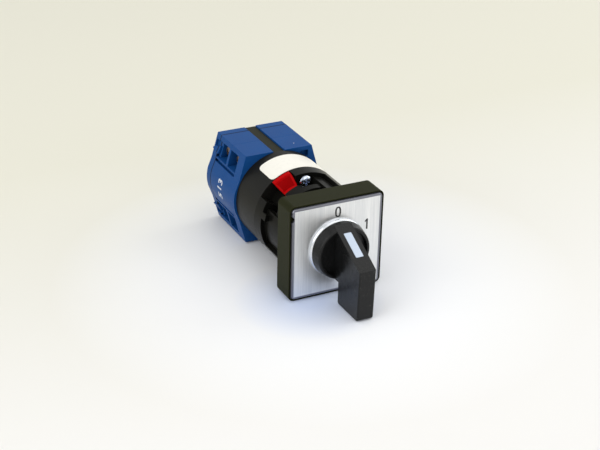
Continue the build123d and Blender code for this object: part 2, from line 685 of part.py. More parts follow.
with BuildPart() as latch_housing:
    with BuildSketch(section(latch_back)):
        Circle(RING_RADIUS)
    extrude(amount=LATCH_DEPTH)
    with BuildSketch(section(latch_back)):
        Circle(latch_bore)
    extrude(amount=LATCH_DEPTH - LATCH_FRONT, mode=Mode.SUBTRACT)
    with BuildSketch(section(latch_back)):
        with Locations(*screw_places):
            Circle(BOSS_RADIUS)
    extrude(amount=LATCH_DEPTH - LATCH_FRONT + GAP)
    with BuildSketch(section(spring_back)):
        with Locations(*post_places):
            Rectangle(POST_SIZE, POST_SIZE)
    extrude(amount=spring_back - latch_floor + GAP)
    with BuildSketch(section(spring_back)):
        for x, z in post_places:
            slot = POST_SIZE / 2 + FREE
            with Locations((x, z + (FREE - POST_SIZE / 2) / 2 * (1 if z > 0 else -1))):
                Rectangle(SPRING_THICKNESS + 2 * GAP, slot)
    extrude(amount=SPRING_WIDTH + GAP, mode=Mode.SUBTRACT)
    with BuildSketch(section(latch_floor)):
        Circle(journal_radius + RUN)
    extrude(amount=LATCH_FRONT, mode=Mode.SUBTRACT)
    # threaded bores: mounting ring screws from the front, tie screws from the rear
    with BuildSketch(section(screw_seat + RING_SCREW_LENGTH + FREE)):
        with Locations(*screw_places):
            Circle(RING_SCREW_SHANK + GAP)
    extrude(amount=RING_SCREW_LENGTH, mode=Mode.SUBTRACT)
    with BuildSketch(section(latch_back)):
        with Locations(*tie_places):
            Circle(TIE_RADIUS + GAP)
    extrude(amount=TIE_ENGAGE + FREE, mode=Mode.SUBTRACT)
save(latch_housing, "latch_housing")

with BuildPart() as star_wheel:
    with BuildSketch(section(star_back)):
        Circle(star_radius)
        with PolarLocations(notch_centre, STAR_NOTCHES):
            Circle(NOTCH_CUT, mode=Mode.SUBTRACT)
    extrude(amount=STAR_THICKNESS)
    with BuildSketch(section(latch_back - GAP)):
        Circle(journal_radius)
    extrude(amount=LATCH_DEPTH - GAP - FREE)
    with BuildSketch(section(star_back + STOP_DEPTH)):
        add(
            ring_sector(
                journal_radius - 1,
                stop_radius,
                -(TURN_ANGLE + STOP_LUG_SPAN) / 2,
                -(TURN_ANGLE - STOP_LUG_SPAN) / 2,
            )
        )
    extrude(amount=STOP_DEPTH)
    with BuildSketch(section(latch_back)):
        Rectangle(SHAFT_SIDE + 2 * GAP, SHAFT_SIDE + 2 * GAP)
    extrude(amount=LATCH_DEPTH, mode=Mode.SUBTRACT)
save(star_wheel, "star_wheel")

stop_edge = (TURN_ANGLE + STOP_LUG_SPAN) / 2 + STOP_SLACK
with BuildPart() as latch_plate:
    with BuildSketch(section(latch_back)):
        Circle(latch_bore - GAP)
        Circle(journal_radius + RUN, mode=Mode.SUBTRACT)
        with Locations(*screw_places):
            Circle(BOSS_RADIUS + GAP, mode=Mode.SUBTRACT)
    extrude(amount=LATCH_PLATE_THICKNESS)
    with BuildSketch(section(latch_plate_front)):
        for start in (stop_edge, -stop_edge - STOP_BLOCK_SPAN):
            add(ring_sector(journal_radius + FREE, stop_radius, start, start + STOP_BLOCK_SPAN))
    extrude(amount=latch_plate_front - star_back - FREE)
save(latch_plate, "latch_plate")

# leaf springs whose noses rest in the star wheel's notches
leg_rise = spring_half_span * 0.45
for side, name in ((-1, "detent_spring_left"), (1, "detent_spring_right")):
    half_angle = atan2(leg_rise, spring_offset - nose_face)
    tip = nose_face + SPRING_THICKNESS / 2 - SPRING_NOSE * (1 / sin(half_angle) - 1)
    with BuildPart() as detent_spring:
        with BuildSketch(section(spring_back)):
            with BuildLine():
                FilletPolyline(
                    (side * spring_offset, -spring_half_span),
                    (side * spring_offset, -leg_rise),
                    (side * tip, 0),
                    (side * spring_offset, leg_rise),
                    (side * spring_offset, spring_half_span),
                    radius=[SPRING_NOSE / 2, SPRING_NOSE, SPRING_NOSE / 2],
                )
            trace(line_width=SPRING_THICKNESS)
        extrude(amount=SPRING_WIDTH)
    save(detent_spring, name)

with BuildPart() as rating_label:
    with BuildSketch(section(SEAM + LABEL_LENGTH)):
        add(ring_sector(RING_RADIUS, RING_RADIUS + LABEL_THICKNESS, LABEL_START_ANGLE, LABEL_END_ANGLE))
    extrude(amount=LABEL_LENGTH - 2 * GAP)
save(rating_label, "rating_label")

# ---------------------------------------------------------------- contact block
strap_floor = BLOCK_HALF_HEIGHT - STRAP_SINK - STRAP_THICKNESS - GAP
strap_slot = STRAP_WIDTH + 2 * GAP
chamber_height = CHAMBER_END - CHAMBER_START
contact_chamber_start = YOKE_START - CAM_LIFT - 0.65
contact_chamber_end = YOKE_END + 0.3
contact_chamber_half = BRIDGE_HALF + FREE
tip_face = BRIDGE_START - TIP_THICKNESS - CAM_LIFT - CONTACT_MARGIN
strip_end = tip_face - FIXED_TIP
strip_start = strip_end - STRIP_THICKNESS
clamp_start = strip_end + WIRE_SPACE
head_start = clamp_start + CLAMP_THICKNESS
gutter_top = CHAMBER_START - LIP
gutter_front = latch_back + FRONT_STAGE_WALL
spring_room = COIL_RADIUS + COIL_WIRE + 2 * RUN
nib_front = latch_back + STRAP_NIB_PLACE
nib_back = cover_back - TIE_HEAD_HEIGHT - STRAP_NIB_PLACE
sides = (-1, 1)


def block_outline():
    """Outline of the contact block: flat top and bottom, sloping flanks, rounded side bands."""
    with BuildSketch() as outline:
        with BuildLine():
            for x in sides:
                Polyline(
                    (0, BLOCK_HALF_HEIGHT),
                    (x * FLAT_HALF, BLOCK_HALF_HEIGHT),
                    (x * SHOULDER[0], SHOULDER[1]),
                    (x * BAND[0], BAND[1]),
                )
                ThreePointArc((x * BAND[0], BAND[1]), (x * BLOCK_HALF_WIDTH, 0), (x * BAND[0], -BAND[1]))
                Polyline(
                    (x * BAND[0], -BAND[1]),
                    (x * SHOULDER[0], -SHOULDER[1]),
                    (x * FLAT_HALF, -BLOCK_HALF_HEIGHT),
                    (0, -BLOCK_HALF_HEIGHT),
                )
        make_face()
    return outline.sketch


def strap_channels():
    """Grooves along the top and the bottom of the block, for the straps."""
    depth = BLOCK_HALF_HEIGHT - strap_floor
    with BuildSketch() as channels:
        with Locations((0, BLOCK_HALF_HEIGHT - depth / 2), (0, depth / 2 - BLOCK_HALF_HEIGHT)):
            Rectangle(strap_slot, depth)
    return channels.sketch


def nib_pockets():
    """Pockets for the straps' nibs, just below the strap grooves."""
    with BuildSketch() as pockets:
        with Locations((0, strap_floor), (0, -strap_floor)):
            Rectangle(strap_slot, 2 * (STRAP_NIB + GAP - STRAP_THICKNESS / 2))
    return pockets.sketch


def stage_cavity():
    """Room of one switching stage: cam, plungers, bridges and the four wiring chambers."""
    with BuildSketch() as cavity:
        Circle(CAM_HIGH + CAM_ROOM)
        Rectangle(2 * contact_chamber_start + 1, STEM_HEIGHT + 2 * RUN)
        chamber_width = contact_chamber_end - contact_chamber_start
        with Locations(*[(x * (contact_chamber_start + chamber_width / 2), 0) for x in sides]):
            Rectangle(chamber_width, 2 * contact_chamber_half)
        strip_x = (strip_start + strip_end) / 2
        strip_z = (STRIP_START + STRIP_END) / 2
        strip_places = [(x * strip_x, z * strip_z) for x in sides for z in sides]
        with Locations(*strip_places):
            Rectangle(STRIP_THICKNESS + 2 * GAP, STRIP_END - STRIP_START + 2 * GAP)
        outward = BLOCK_HALF_WIDTH + 1 - strip_end
        chamber_x = strip_end + outward / 2
        chamber_z = (CHAMBER_START + CHAMBER_END) / 2
        chamber_places = [(x * chamber_x, z * chamber_z) for x in sides for z in sides]
        with Locations(*chamber_places):
            Rectangle(outward, chamber_height)
    return cavity.sketch


def gutters():
    """Drip grooves below the wiring chambers, square to the flanks."""
    with BuildSketch() as grooves:
        for x in sides:
            for z in sides:
                height = gutter_top - GUTTER_WIDTH / 2
                face = FLAT_HALF + (BLOCK_HALF_HEIGHT - height) * (SHOULDER[0] - FLAT_HALF) / (
                    BLOCK_HALF_HEIGHT - SHOULDER[1]
                )
                with Locations((x * face, z * height)):
                    Rectangle(2 * GUTTER_DEPTH, GUTTER_WIDTH, rotation=x * z * degrees(side_slope))
    return grooves.sketch


stages = (
    ("front", latch_back, FRONT_STAGE_DEPTH, FRONT_STAGE_WALL),
    ("rear", stage_split, REAR_STAGE_DEPTH, REAR_STAGE_WALL),
)

for stage, start, depth, wall in stages:
    end = start + depth
    floor = start + wall
    middle = (floor + end) / 2

    with BuildPart() as housing:
        with BuildSketch(section(end)):
            add(block_outline())
        extrude(amount=depth)
        with BuildSketch(section(end)):
            add(stage_cavity())
        extrude(amount=depth - wall, mode=Mode.SUBTRACT)
        with BuildSketch(section(end)):
            add(gutters())
        extrude(amount=min(depth, end - gutter_front), mode=Mode.SUBTRACT)
        with BuildSketch(section(end)):
            Circle(SHAFT_SIDE * 0.75)
            with Locations(*tie_places):
                Circle(TIE_RADIUS + GAP)
            add(strap_channels())
        extrude(amount=depth, mode=Mode.SUBTRACT)
        # spring seats behind the yokes
        with BuildSketch(section(end)):
            Rectangle(2 * (SPRING_SEAT + GAP), 2 * spring_room)
            Rectangle(2 * contact_chamber_end - 1, 3 * spring_room, mode=Mode.SUBTRACT)
        extrude(amount=end - middle + spring_room, mode=Mode.SUBTRACT)
        # holes for the tips of the terminal screws
        for x in sides:
            with BuildSketch(Plane.YZ.offset(x * strip_start)):
                with Locations((middle, SCREW_HEIGHT), (middle, -SCREW_HEIGHT)):
                    Circle(SCREW_RADIUS + GAP)
            extrude(amount=x * (head_start - SCREW_LENGTH - FREE - strip_start), mode=Mode.SUBTRACT)
        if stage == "front":
            with BuildSketch(section(start + ACCESS_DEPTH)):
                with Locations(ACCESS_PLACE):
                    Rectangle(ACCESS_WIDTH, ACCESS_HEIGHT)
            extrude(amount=ACCESS_DEPTH, mode=Mode.SUBTRACT)
            with BuildSketch(section(nib_front + STRAP_NIB + GAP)):
                add(nib_pockets())
            extrude(amount=STRAP_NIB + 2 * GAP, mode=Mode.SUBTRACT)
    save(housing, f"stage_housing_{stage}")

cover_face = cover_back - TIE_HEAD_HEIGHT
with BuildPart() as end_cover:
    with BuildSketch(section(cover_back)):
        add(block_outline())
    extrude(amount=COVER_DEPTH)
    chamfer(end_cover.faces().sort_by(Axis.Y)[-1].edges(), length=COVER_CHAMFER)
    with BuildSketch(section(cover_back)):
        add(strap_channels())
        with Locations(*tie_places):
            Circle(TIE_RADIUS + GAP)
    extrude(amount=COVER_DEPTH, mode=Mode.SUBTRACT)
    with BuildSketch(section(cover_back)):
        with Locations(*tie_places):
            Circle(TIE_HEAD_RADIUS + 2 * GAP)
    extrude(amount=TIE_HEAD_HEIGHT, mode=Mode.SUBTRACT)
    with BuildSketch(section(nib_back + GAP)):
        add(nib_pockets())
    extrude(amount=STRAP_NIB + 2 * GAP, mode=Mode.SUBTRACT)
    # end bearing of the shaft
    with BuildSketch(section(shaft_body_back + FREE)):
        Circle(SHAFT_SIDE * 0.75)
    extrude(amount=shaft_body_back + FREE - block_back, mode=Mode.SUBTRACT)
    with BuildSketch(section(shaft_body_back + SHAFT_JOURNAL_LENGTH + FREE)):
        Circle(SHAFT_JOURNAL + RUN)
    extrude(amount=SHAFT_JOURNAL_LENGTH + FREE, mode=Mode.SUBTRACT)
save(end_cover, "end_cover")

strap_front = latch_back + GAP
for z, name in ((1, "stack_strap_top"), (-1, "stack_strap_bottom")):
    with BuildPart() as strap:
        with BuildSketch(section(cover_back - GAP)):
            with Locations((0, z * (strap_floor + GAP + STRAP_THICKNESS / 2))):
                Rectangle(STRAP_WIDTH, STRAP_THICKNESS)
        extrude(amount=cover_back - GAP - strap_front)
        for back in (nib_front + STRAP_NIB, nib_back):
            with BuildSketch(section(back)):
                with Locations((0, z * (strap_floor + GAP))):
                    Rectangle(STRAP_WIDTH, STRAP_NIB)
            extrude(amount=STRAP_NIB)
    save(strap, name)

with BuildPart() as tie_screws:
    with BuildSketch(section(cover_face)):
        with Locations(*tie_places):
            Circle(TIE_RADIUS)
    extrude(amount=cover_face - tie_front)
    with BuildSketch(section(cover_back - GAP)):
        with Locations(*tie_places):
            Circle(TIE_HEAD_RADIUS)
            Rectangle(2 * TIE_HEAD_RADIUS - 1, 0.5, mode=Mode.SUBTRACT)
    extrude(amount=TIE_HEAD_HEIGHT - GAP)
    with BuildSketch(section(cover_back - 2 * GAP - 0.6)):
        with Locations(*tie_places):
            Circle(TIE_HEAD_RADIUS)
    extrude(amount=TIE_HEAD_HEIGHT - 2 * GAP - 0.6)
save(tie_screws, "tie_screws")

# ---------------------------------------------------------------- contacts
def cam_outline():
    """Cam with two lobes: level arcs joined by ramps that rise evenly with the angle."""
    low = CAM_HIGH - CAM_LIFT
    steps = [step / RAMP_STEPS for step in range(RAMP_STEPS + 1)]
    with BuildSketch() as outline:
        with BuildLine():
            for turn in (0, 180):
                # clock angles: low to 30, rising to 90, high to 120, falling to 180
                CenterArc((0, 0), low, 90 - turn - DWELL_ANGLE, DWELL_ANGLE)
                up = turn + DWELL_ANGLE
                rise = [clock(low + CAM_LIFT * share, up + TURN_ANGLE * share) for share in steps]
                Spline(*rise)
                CenterArc((0, 0), CAM_HIGH, 90 - turn - 2 * DWELL_ANGLE - TURN_ANGLE, DWELL_ANGLE)
                down = up + TURN_ANGLE + DWELL_ANGLE
                fall = [clock(CAM_HIGH - CAM_LIFT * share, down + TURN_ANGLE * share) for share in steps]
                Spline(*fall)
        make_face()
    return outline.sketch


for stage, start, depth, wall in stages:
    end = start + depth
    floor = start + wall
    middle = (floor + end) / 2

    with BuildPart() as cam:
        with BuildSketch(section(middle + CAM_THICKNESS / 2)):
            add(cam_outline())
        extrude(amount=CAM_THICKNESS)
        with BuildSketch(section(end - GAP)):
            Circle(CAM_HUB)
        extrude(amount=end - floor - 2 * GAP)
        with BuildSketch(section(end)):
            Rectangle(SHAFT_SIDE + 2 * GAP, SHAFT_SIDE + 2 * GAP)
        extrude(amount=end - floor, mode=Mode.SUBTRACT)
    save(cam, f"cam_{stage}")

    for x, side in ((-1, "left"), (1, "right")):
        with BuildPart() as plunger:
            with BuildSketch(section(middle + STEM_DEPTH / 2)):
                with Locations((x * (CAM_HIGH + FOLLOWER_GAP + NOSE_RADIUS), 0)):
                    Circle(NOSE_RADIUS)
                with Locations((x * (strip_end + GAP), 0)):
                    Rectangle(2 * GAP, STEM_HEIGHT)
                make_hull()
                with Locations((x * (strip_end + YOKE_END) / 2, 0)):
                    Rectangle(YOKE_END - strip_end, STEM_HEIGHT)
            extrude(amount=STEM_DEPTH)
            with BuildSketch(section(middle + YOKE_DEPTH / 2)):
                with Locations((x * (YOKE_START + YOKE_END) / 2, 0)):
                    Rectangle(YOKE_END - YOKE_START, STEM_HEIGHT)
            extrude(amount=YOKE_DEPTH)
            with BuildSketch(section(middle + BRIDGE_DEPTH / 2 + GAP)):
                with Locations((x * (BRIDGE_START + BRIDGE_THICKNESS / 2), 0)):
                    Rectangle(BRIDGE_THICKNESS + 2 * GAP, STEM_HEIGHT)
            extrude(amount=BRIDGE_DEPTH + 2 * GAP, mode=Mode.SUBTRACT)
            with BuildSketch(Plane.YZ.offset(x * YOKE_END)):
                with Locations((middle, 0)):
                    Circle(SPIGOT_PIN)
            extrude(amount=x * PIN_LENGTH)
        save(plunger, f"plunger_{stage}_{side}")

        with BuildPart() as bridge:
            with BuildSketch(section(middle + BRIDGE_DEPTH / 2)):
                with Locations((x * (BRIDGE_START + BRIDGE_THICKNESS / 2), 0)):
                    Rectangle(BRIDGE_THICKNESS, 2 * BRIDGE_HALF)
            extrude(amount=BRIDGE_DEPTH)
            with BuildSketch(Plane.YZ.offset(x * BRIDGE_START)):
                with Locations((middle, TIP_HEIGHT), (middle, -TIP_HEIGHT)):
                    Circle(TIP_RADIUS)
            extrude(amount=-x * TIP_THICKNESS)
        save(bridge, f"bridge_{stage}_{side}")

        with BuildPart() as contact_spring:
            coil_height = SPRING_SEAT - YOKE_END - 2 * COIL_WIRE
            coil_start = (x * (YOKE_END + COIL_WIRE), middle, 0)
            with BuildLine() as coil:
                Helix(
                    pitch=coil_height / COIL_TURN_ANGLES,
                    height=coil_height,
                    radius=COIL_RADIUS,
                    center=coil_start,
                    direction=(x, 0, 0),
                )
            with BuildSketch(Plane(origin=coil.line @ 0, z_dir=coil.line % 0)):
                Circle(COIL_WIRE)
            sweep()
        save(contact_spring, f"contact_spring_{stage}_{side}")

        with BuildPart() as fixed_contacts:
            strip_middle = (STRIP_START + STRIP_END) / 2
            with BuildSketch(section(middle + STRIP_DEPTH / 2)):
                with Locations(*[(x * (strip_start + strip_end) / 2, z * strip_middle) for z in sides]):
                    Rectangle(STRIP_THICKNESS, STRIP_END - STRIP_START)
            extrude(amount=STRIP_DEPTH)
            with BuildSketch(Plane.YZ.offset(x * strip_end)):
                with Locations((middle, TIP_HEIGHT), (middle, -TIP_HEIGHT)):
                    Circle(TIP_RADIUS)
            extrude(amount=x * FIXED_TIP)
            with BuildSketch(Plane.YZ.offset(x * strip_end)):
                with Locations((middle, SCREW_HEIGHT), (middle, -SCREW_HEIGHT)):
                    Circle(SCREW_RADIUS + GAP)
            extrude(amount=-x * STRIP_THICKNESS, mode=Mode.SUBTRACT)
        save(fixed_contacts, f"fixed_contacts_{stage}_{side}")

for x, side in ((-1, "left"), (1, "right")):
    stage_middles = [start + (wall + depth) / 2 for stage, start, depth, wall in stages]
    screw_rows = [(y, z * SCREW_HEIGHT) for y in stage_middles for z in sides]

    with BuildPart() as terminal_screws:
        with BuildSketch(Plane.YZ.offset(x * head_start)):
            with Locations(*screw_rows):
                Circle(SCREW_RADIUS)
        extrude(amount=-x * SCREW_LENGTH)
        with BuildSketch(Plane.YZ.offset(x * head_start)):
            with Locations(*screw_rows):
                Circle(SCREW_HEAD)
        extrude(amount=x * SCREW_HEAD_HEIGHT)
        rims = terminal_screws.edges().group_by(Axis.X)[0 if x < 0 else -1]
        chamfer(rims, length=0.3)
    save(terminal_screws, f"terminal_screws_{side}")

    with BuildPart() as terminal_clamps:
        with BuildSketch(Plane.YZ.offset(x * clamp_start)):
            with Locations(*screw_rows):
                Rectangle(CLAMP_SIDE, CLAMP_SIDE)
                Circle(SCREW_RADIUS + GAP, mode=Mode.SUBTRACT)
        extrude(amount=x * CLAMP_THICKNESS)
    save(terminal_clamps, f"terminal_clamps_{side}")
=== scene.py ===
"""The dressed cam switch: moulded plastics, brushed plate, screws, springs and marks.

All objects are in metres in the frame of the CAD part: the shaft runs along Y, the front is at -Y and
the top at +Z. Sizes in the classes below are in millimetres, and clock angles count from the top,
growing clockwise as seen from the front.
"""

import logging
import math
from dataclasses import asdict, dataclass, fields
from enum import Enum
from functools import lru_cache
from typing import Any, Dict, List, Optional, Sequence, Tuple, Union

import bmesh
import bpy
from mathutils import Matrix, Vector


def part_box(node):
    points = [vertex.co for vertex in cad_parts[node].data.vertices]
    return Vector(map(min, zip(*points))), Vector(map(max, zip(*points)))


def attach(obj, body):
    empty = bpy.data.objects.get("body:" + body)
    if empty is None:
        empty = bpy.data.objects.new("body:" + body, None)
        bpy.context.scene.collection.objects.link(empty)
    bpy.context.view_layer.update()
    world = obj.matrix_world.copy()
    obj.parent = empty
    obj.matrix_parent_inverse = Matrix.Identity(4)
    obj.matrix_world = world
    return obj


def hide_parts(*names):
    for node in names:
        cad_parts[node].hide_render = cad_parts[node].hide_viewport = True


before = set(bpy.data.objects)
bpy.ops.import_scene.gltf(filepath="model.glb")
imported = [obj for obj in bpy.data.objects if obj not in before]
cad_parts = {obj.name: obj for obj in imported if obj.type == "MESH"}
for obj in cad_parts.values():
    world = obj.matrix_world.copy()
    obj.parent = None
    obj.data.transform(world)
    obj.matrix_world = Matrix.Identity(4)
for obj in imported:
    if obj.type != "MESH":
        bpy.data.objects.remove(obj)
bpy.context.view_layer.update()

LOG = logging.getLogger("cam_switch")
MM = 0.001
SIDES = ("left", "right")
STAGES = ("front", "rear")
WELD = 1.5e-6  # metres between vertices that are one
FLAT = math.radians(0.8)  # faces that meet at less than this are one face

Colour = Tuple[float, float, float]
Point = Tuple[float, float, float]
Corner = Tuple[float, float, float, float]


class Body(Enum):
    """Rigid bodies of the switch that a piece can ride on."""

    HOUSING = "housing"
    KNOB = "knob"
    LOCK = "lock"
    PLUNGER_FRONT_LEFT = "plunger_front_left"
    PLUNGER_FRONT_RIGHT = "plunger_front_right"
    PLUNGER_REAR_LEFT = "plunger_rear_left"
    PLUNGER_REAR_RIGHT = "plunger_rear_right"


class Slot(Enum):
    """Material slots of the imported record."""

    BLACK = "black_plastic"
    GREY = "grey_plastic"
    BLUE = "blue_plastic"
    RED = "red_plastic"
    PLATE = "brushed_plate"
    CHROME = "chrome"
    INSERT = "white_insert"
    LABEL = "label"
    ZINC = "zinc_steel"
    SPRING = "spring_steel"
    COPPER = "copper_alloy"
    NATURAL = "natural_plastic"
    SEAL = "seal_rubber"


# --- shader arithmetic
class Sock:
    """A shader socket that can be used in Python arithmetic."""

    def __init__(self, shade: "Shade", socket: bpy.types.NodeSocket) -> None:
        """Wraps an output socket of a shade's node tree."""
        self.shade = shade
        self.socket = socket

    def _with(self, operation: str, first: "Number", second: "Number") -> "Sock":
        """Adds a Math node for two numbers or sockets."""
        return self.shade.node("ShaderNodeMath", {"operation": operation}, {0: first, 1: second})

    def __add__(self, other: "Number") -> "Sock":
        """Sum."""
        return self._with("ADD", self, other)

    def __radd__(self, other: "Number") -> "Sock":
        """Reflected sum."""
        return self._with("ADD", other, self)

    def __sub__(self, other: "Number") -> "Sock":
        """Difference."""
        return self._with("SUBTRACT", self, other)

    def __rsub__(self, other: "Number") -> "Sock":
        """Reflected difference."""
        return self._with("SUBTRACT", other, self)

    def __mul__(self, other: "Number") -> "Sock":
        """Product."""
        return self._with("MULTIPLY", self, other)

    def __rmul__(self, other: "Number") -> "Sock":
        """Reflected product."""
        return self._with("MULTIPLY", other, self)

    def least(self, other: "Number") -> "Sock":
        """The smaller of two numbers."""
        return self._with("MINIMUM", self, other)

    def most(self, other: "Number") -> "Sock":
        """The larger of two numbers."""
        return self._with("MAXIMUM", self, other)

    def share(self) -> "Sock":
        """This number kept from 0 to 1."""
        return self.most(0.0).least(1.0)


Number = Union[Sock, float]


class Shade:
    """A material or world whose node tree is written as expressions."""

    def __init__(self, owner: Union[bpy.types.Material, bpy.types.World]) -> None:
        """Empties the owner's node tree.

        Args:
            owner: The material or world to write.
        """
        owner.use_nodes = True
        self.owner = owner
        self.tree = owner.node_tree
        self.tree.nodes.clear()

    @classmethod
    def named(cls, name: str) -> "Shade":
        """Starts a new material."""
        return cls(bpy.data.materials.new(name))

    def node(
        self,
        kind: str,
        settings: Optional[Dict[str, Any]] = None,
        inputs: Optional[Dict[Union[int, str], Any]] = None,
        output: Union[int, str] = 0,
    ) -> Sock:
        """Adds a node and gives one of its outputs.

        Args:
            kind: The node's type.
            settings: Properties of the node, set before its sockets.
            inputs: Values or sockets for its inputs, by index or name.
            output: The output to return.

        Returns:
            The chosen output as a socket for arithmetic.
        """
        made = self.tree.nodes.new(kind)
        for key, value in (settings or {}).items():
            setattr(made, key, value)
        for key, value in (inputs or {}).items():
            if isinstance(value, Sock):
                self.tree.links.new(value.socket, made.inputs[key])
            else:
                made.inputs[key].default_value = value
        return Sock(self, made.outputs[output])

    def place(self, stretch: Point = (1.0, 1.0, 1.0)) -> Sock:
        """Object coordinates in millimetres.

        Args:
            stretch: Extra scale along X, Y and Z.

        Returns:
            The coordinates as a vector socket.
        """
        coords = self.node("ShaderNodeTexCoord", output="Object")
        scale = tuple(value / MM for value in stretch)
        wanted = {"Vector": coords, "Scale": scale}
        return self.node("ShaderNodeMapping", {"vector_type": "POINT"}, wanted)

    def axis(self, coords: Sock, index: int) -> Sock:
        """One coordinate of a place: 0 for X, 1 for Y and 2 for Z."""
        return self.node("ShaderNodeSeparateXYZ", None, {"Vector": coords}, index)

    def noise(
        self, coords: Sock, scale: float, detail: float = 2.0, roughness: float = 0.5
    ) -> Sock:
        """Noise from 0 to 1.

        Args:
            coords: Where it is taken.
            scale: Features per unit of the coordinates.
            detail: Layers of finer noise.
            roughness: Strength of the finer layers.

        Returns:
            The noise.
        """
        wanted = {"Vector": coords, "Scale": scale, "Detail": detail, "Roughness": roughness}
        return self.node("ShaderNodeTexNoise", {"noise_dimensions": "3D"}, wanted)

    def mix(self, share: Number, first: Any, second: Any) -> Sock:
        """Mixes two colours.

        Args:
            share: How much of the second colour shows, from 0 to 1.
            first: A colour or a colour socket.
            second: A colour or a colour socket.

        Returns:
            The mixed colour.
        """
        wanted = {
            0: share,
            6: (*first, 1.0) if isinstance(first, tuple) else first,
            7: (*second, 1.0) if isinstance(second, tuple) else second,
        }
        return self.node("ShaderNodeMix", {"data_type": "RGBA"}, wanted, 2)

    def bump(self, height: Sock, depth: float, strength: float = 1.0) -> Sock:
        """Normal from a height from 0 to 1, whose full range is a depth in millimetres."""
        wanted = {"Height": height, "Distance": depth * MM, "Strength": strength}
        return self.node("ShaderNodeBump", None, wanted)

    def surface(self, **inputs: Any) -> bpy.types.Material:
        """Ends the material in a principled surface.

        Args:
            inputs: Socket names of the principled shader, with underscores for spaces.

        Returns:
            The finished material.
        """
        named = {key.replace("_", " "): value for key, value in inputs.items()}
        self.end("ShaderNodeOutputMaterial", self.node("ShaderNodeBsdfPrincipled", None, named))
        return self.owner

    def end(self, kind: str, shader: Sock) -> None:
        """Links a shader to an output node of a kind."""
        out = self.tree.nodes.new(kind)
        self.tree.links.new(shader.socket, out.inputs["Surface"])


# --- finishes
@dataclass(frozen=True)
class Moulded:
    """Injection-moulded plastic with a fine eroded grain and a little handling wear."""

    name: str
    slot: Slot
    colour: Colour
    pale: Colour
    roughness: float = 0.45
    grain: float = 0.012
    specular: float = 0.5
    # The seam fields and the seam colour paint shade: a dark band along the gap between two parts.
    seam: Optional[float] = None
    # Pale specks towards the front of a piece, in front of the given Y.
    speckled_front: Optional[float] = None
    seam_half: float = 0.30
    seam_depth: float = 0.85
    seam_shade_colour: Colour = (0.002, 0.006, 0.02)
    speckle_colour: Colour = (0.20, 0.20, 0.17)
    speckle_share: float = 0.65
    wear_share: float = 0.35

    def material(self) -> bpy.types.Material:
        """Builds the plastic's material.

        Returns:
            The material.
        """
        shade = Shade.named(self.name)
        place = shade.place()
        cloud = shade.noise(place, 0.16, 3.0)
        fine = shade.noise(place, 5.5, 2.0, 0.6)
        specks = shade.noise(place, 2.3, 4.0, 0.7)
        wear = ((specks - 0.62) * 6.0).share() * self.wear_share
        tone = shade.mix(cloud * 0.5, self.colour, self.pale)
        tone = shade.mix(wear, tone, self.pale)
        # Painted shade: a dark band along the seam at the given Y, for the shadow in the gap between the parts.
        if self.seam is not None:
            off = shade.axis(place, 1) - self.seam
            near = (self.seam_half - off.most(0.0 - off)) * 8.0
            tone = shade.mix(near.most(0.0).least(self.seam_depth), tone, self.seam_shade_colour)
        # Pale specks in front of the given Y, fading in over a little more than a millimetre.
        if self.speckled_front is not None:
            near = ((self.speckled_front - shade.axis(place, 1)) * 0.8).share()
            speckles = ((shade.noise(place, 2.1, 3.0, 0.6) - 0.66) * 18.0).share()
            tone = shade.mix(near * speckles * self.speckle_share, tone, self.speckle_colour)
        return shade.surface(
            Base_Color=tone,
            Roughness=self.roughness + (cloud - 0.5) * 0.10 + (fine - 0.5) * 0.08,
            Normal=shade.bump(fine, self.grain),
            Specular_IOR_Level=self.specular,
        )


@dataclass(frozen=True)
class Brushed:
    """Aluminium plate brushed in one direction."""

    name: str
    slot: Slot
    light: Colour
    dark: Colour
    roughness: float = 0.33
    # Painted shade: the plate's bevel is darkened to this bluish grey.
    edge: Colour = (0.20, 0.205, 0.24)
    bevel_shade: float = 13.56
    along: Point = (1.0, 1.0, 0.03)

    def material(self) -> bpy.types.Material:
        """Builds the brushed metal's material.

        Returns:
            The material.
        """
        shade = Shade.named(self.name)
        place = shade.place()
        streaks = shade.noise(shade.place(self.along), 2.6, 5.0, 0.72)
        broad = shade.noise(shade.place(self.along), 0.55, 2.0)
        cloud = shade.noise(place, 0.11, 2.0)
        # Painted shade on the bevel: beyond a set distance from the middle, the tone turns to the edge colour.
        x, z = shade.axis(place, 0), shade.axis(place, 2)
        out = x.most(0.0 - x).most(z.most(0.0 - z))
        bevel_shade = ((out - self.bevel_shade) * 12.0).share()
        share = ((streaks - 0.5) * 1.5 + (broad - 0.5) * 0.9 + 0.5).share()
        tone = shade.mix(share, self.dark, self.light)
        tone = shade.mix(bevel_shade, tone, self.edge)
        rough = self.roughness + (streaks - 0.5) * 0.16 + (cloud - 0.5) * 0.08
        normal = shade.bump(streaks, 0.010)
        return shade.surface(Base_Color=tone, Roughness=rough, Metallic=0.92, Normal=normal)


@dataclass(frozen=True)
class Metal:
    """Turned, stamped or plated metal."""

    name: str
    slot: Slot
    light: Colour
    dark: Colour
    roughness: float = 0.25

    def material(self) -> bpy.types.Material:
        """Builds the metal's material.

        Returns:
            The material.
        """
        shade = Shade.named(self.name)
        place = shade.place()
        cloud = shade.noise(place, 0.8, 3.0)
        fine = shade.noise(place, 7.0, 3.0, 0.6)
        tone = shade.mix(cloud, self.dark, self.light)
        rough = self.roughness + (fine - 0.5) * 0.14 + (cloud - 0.5) * 0.08
        normal = shade.bump(fine, 0.003)
        return shade.surface(Base_Color=tone, Roughness=rough, Metallic=1.0, Normal=normal)


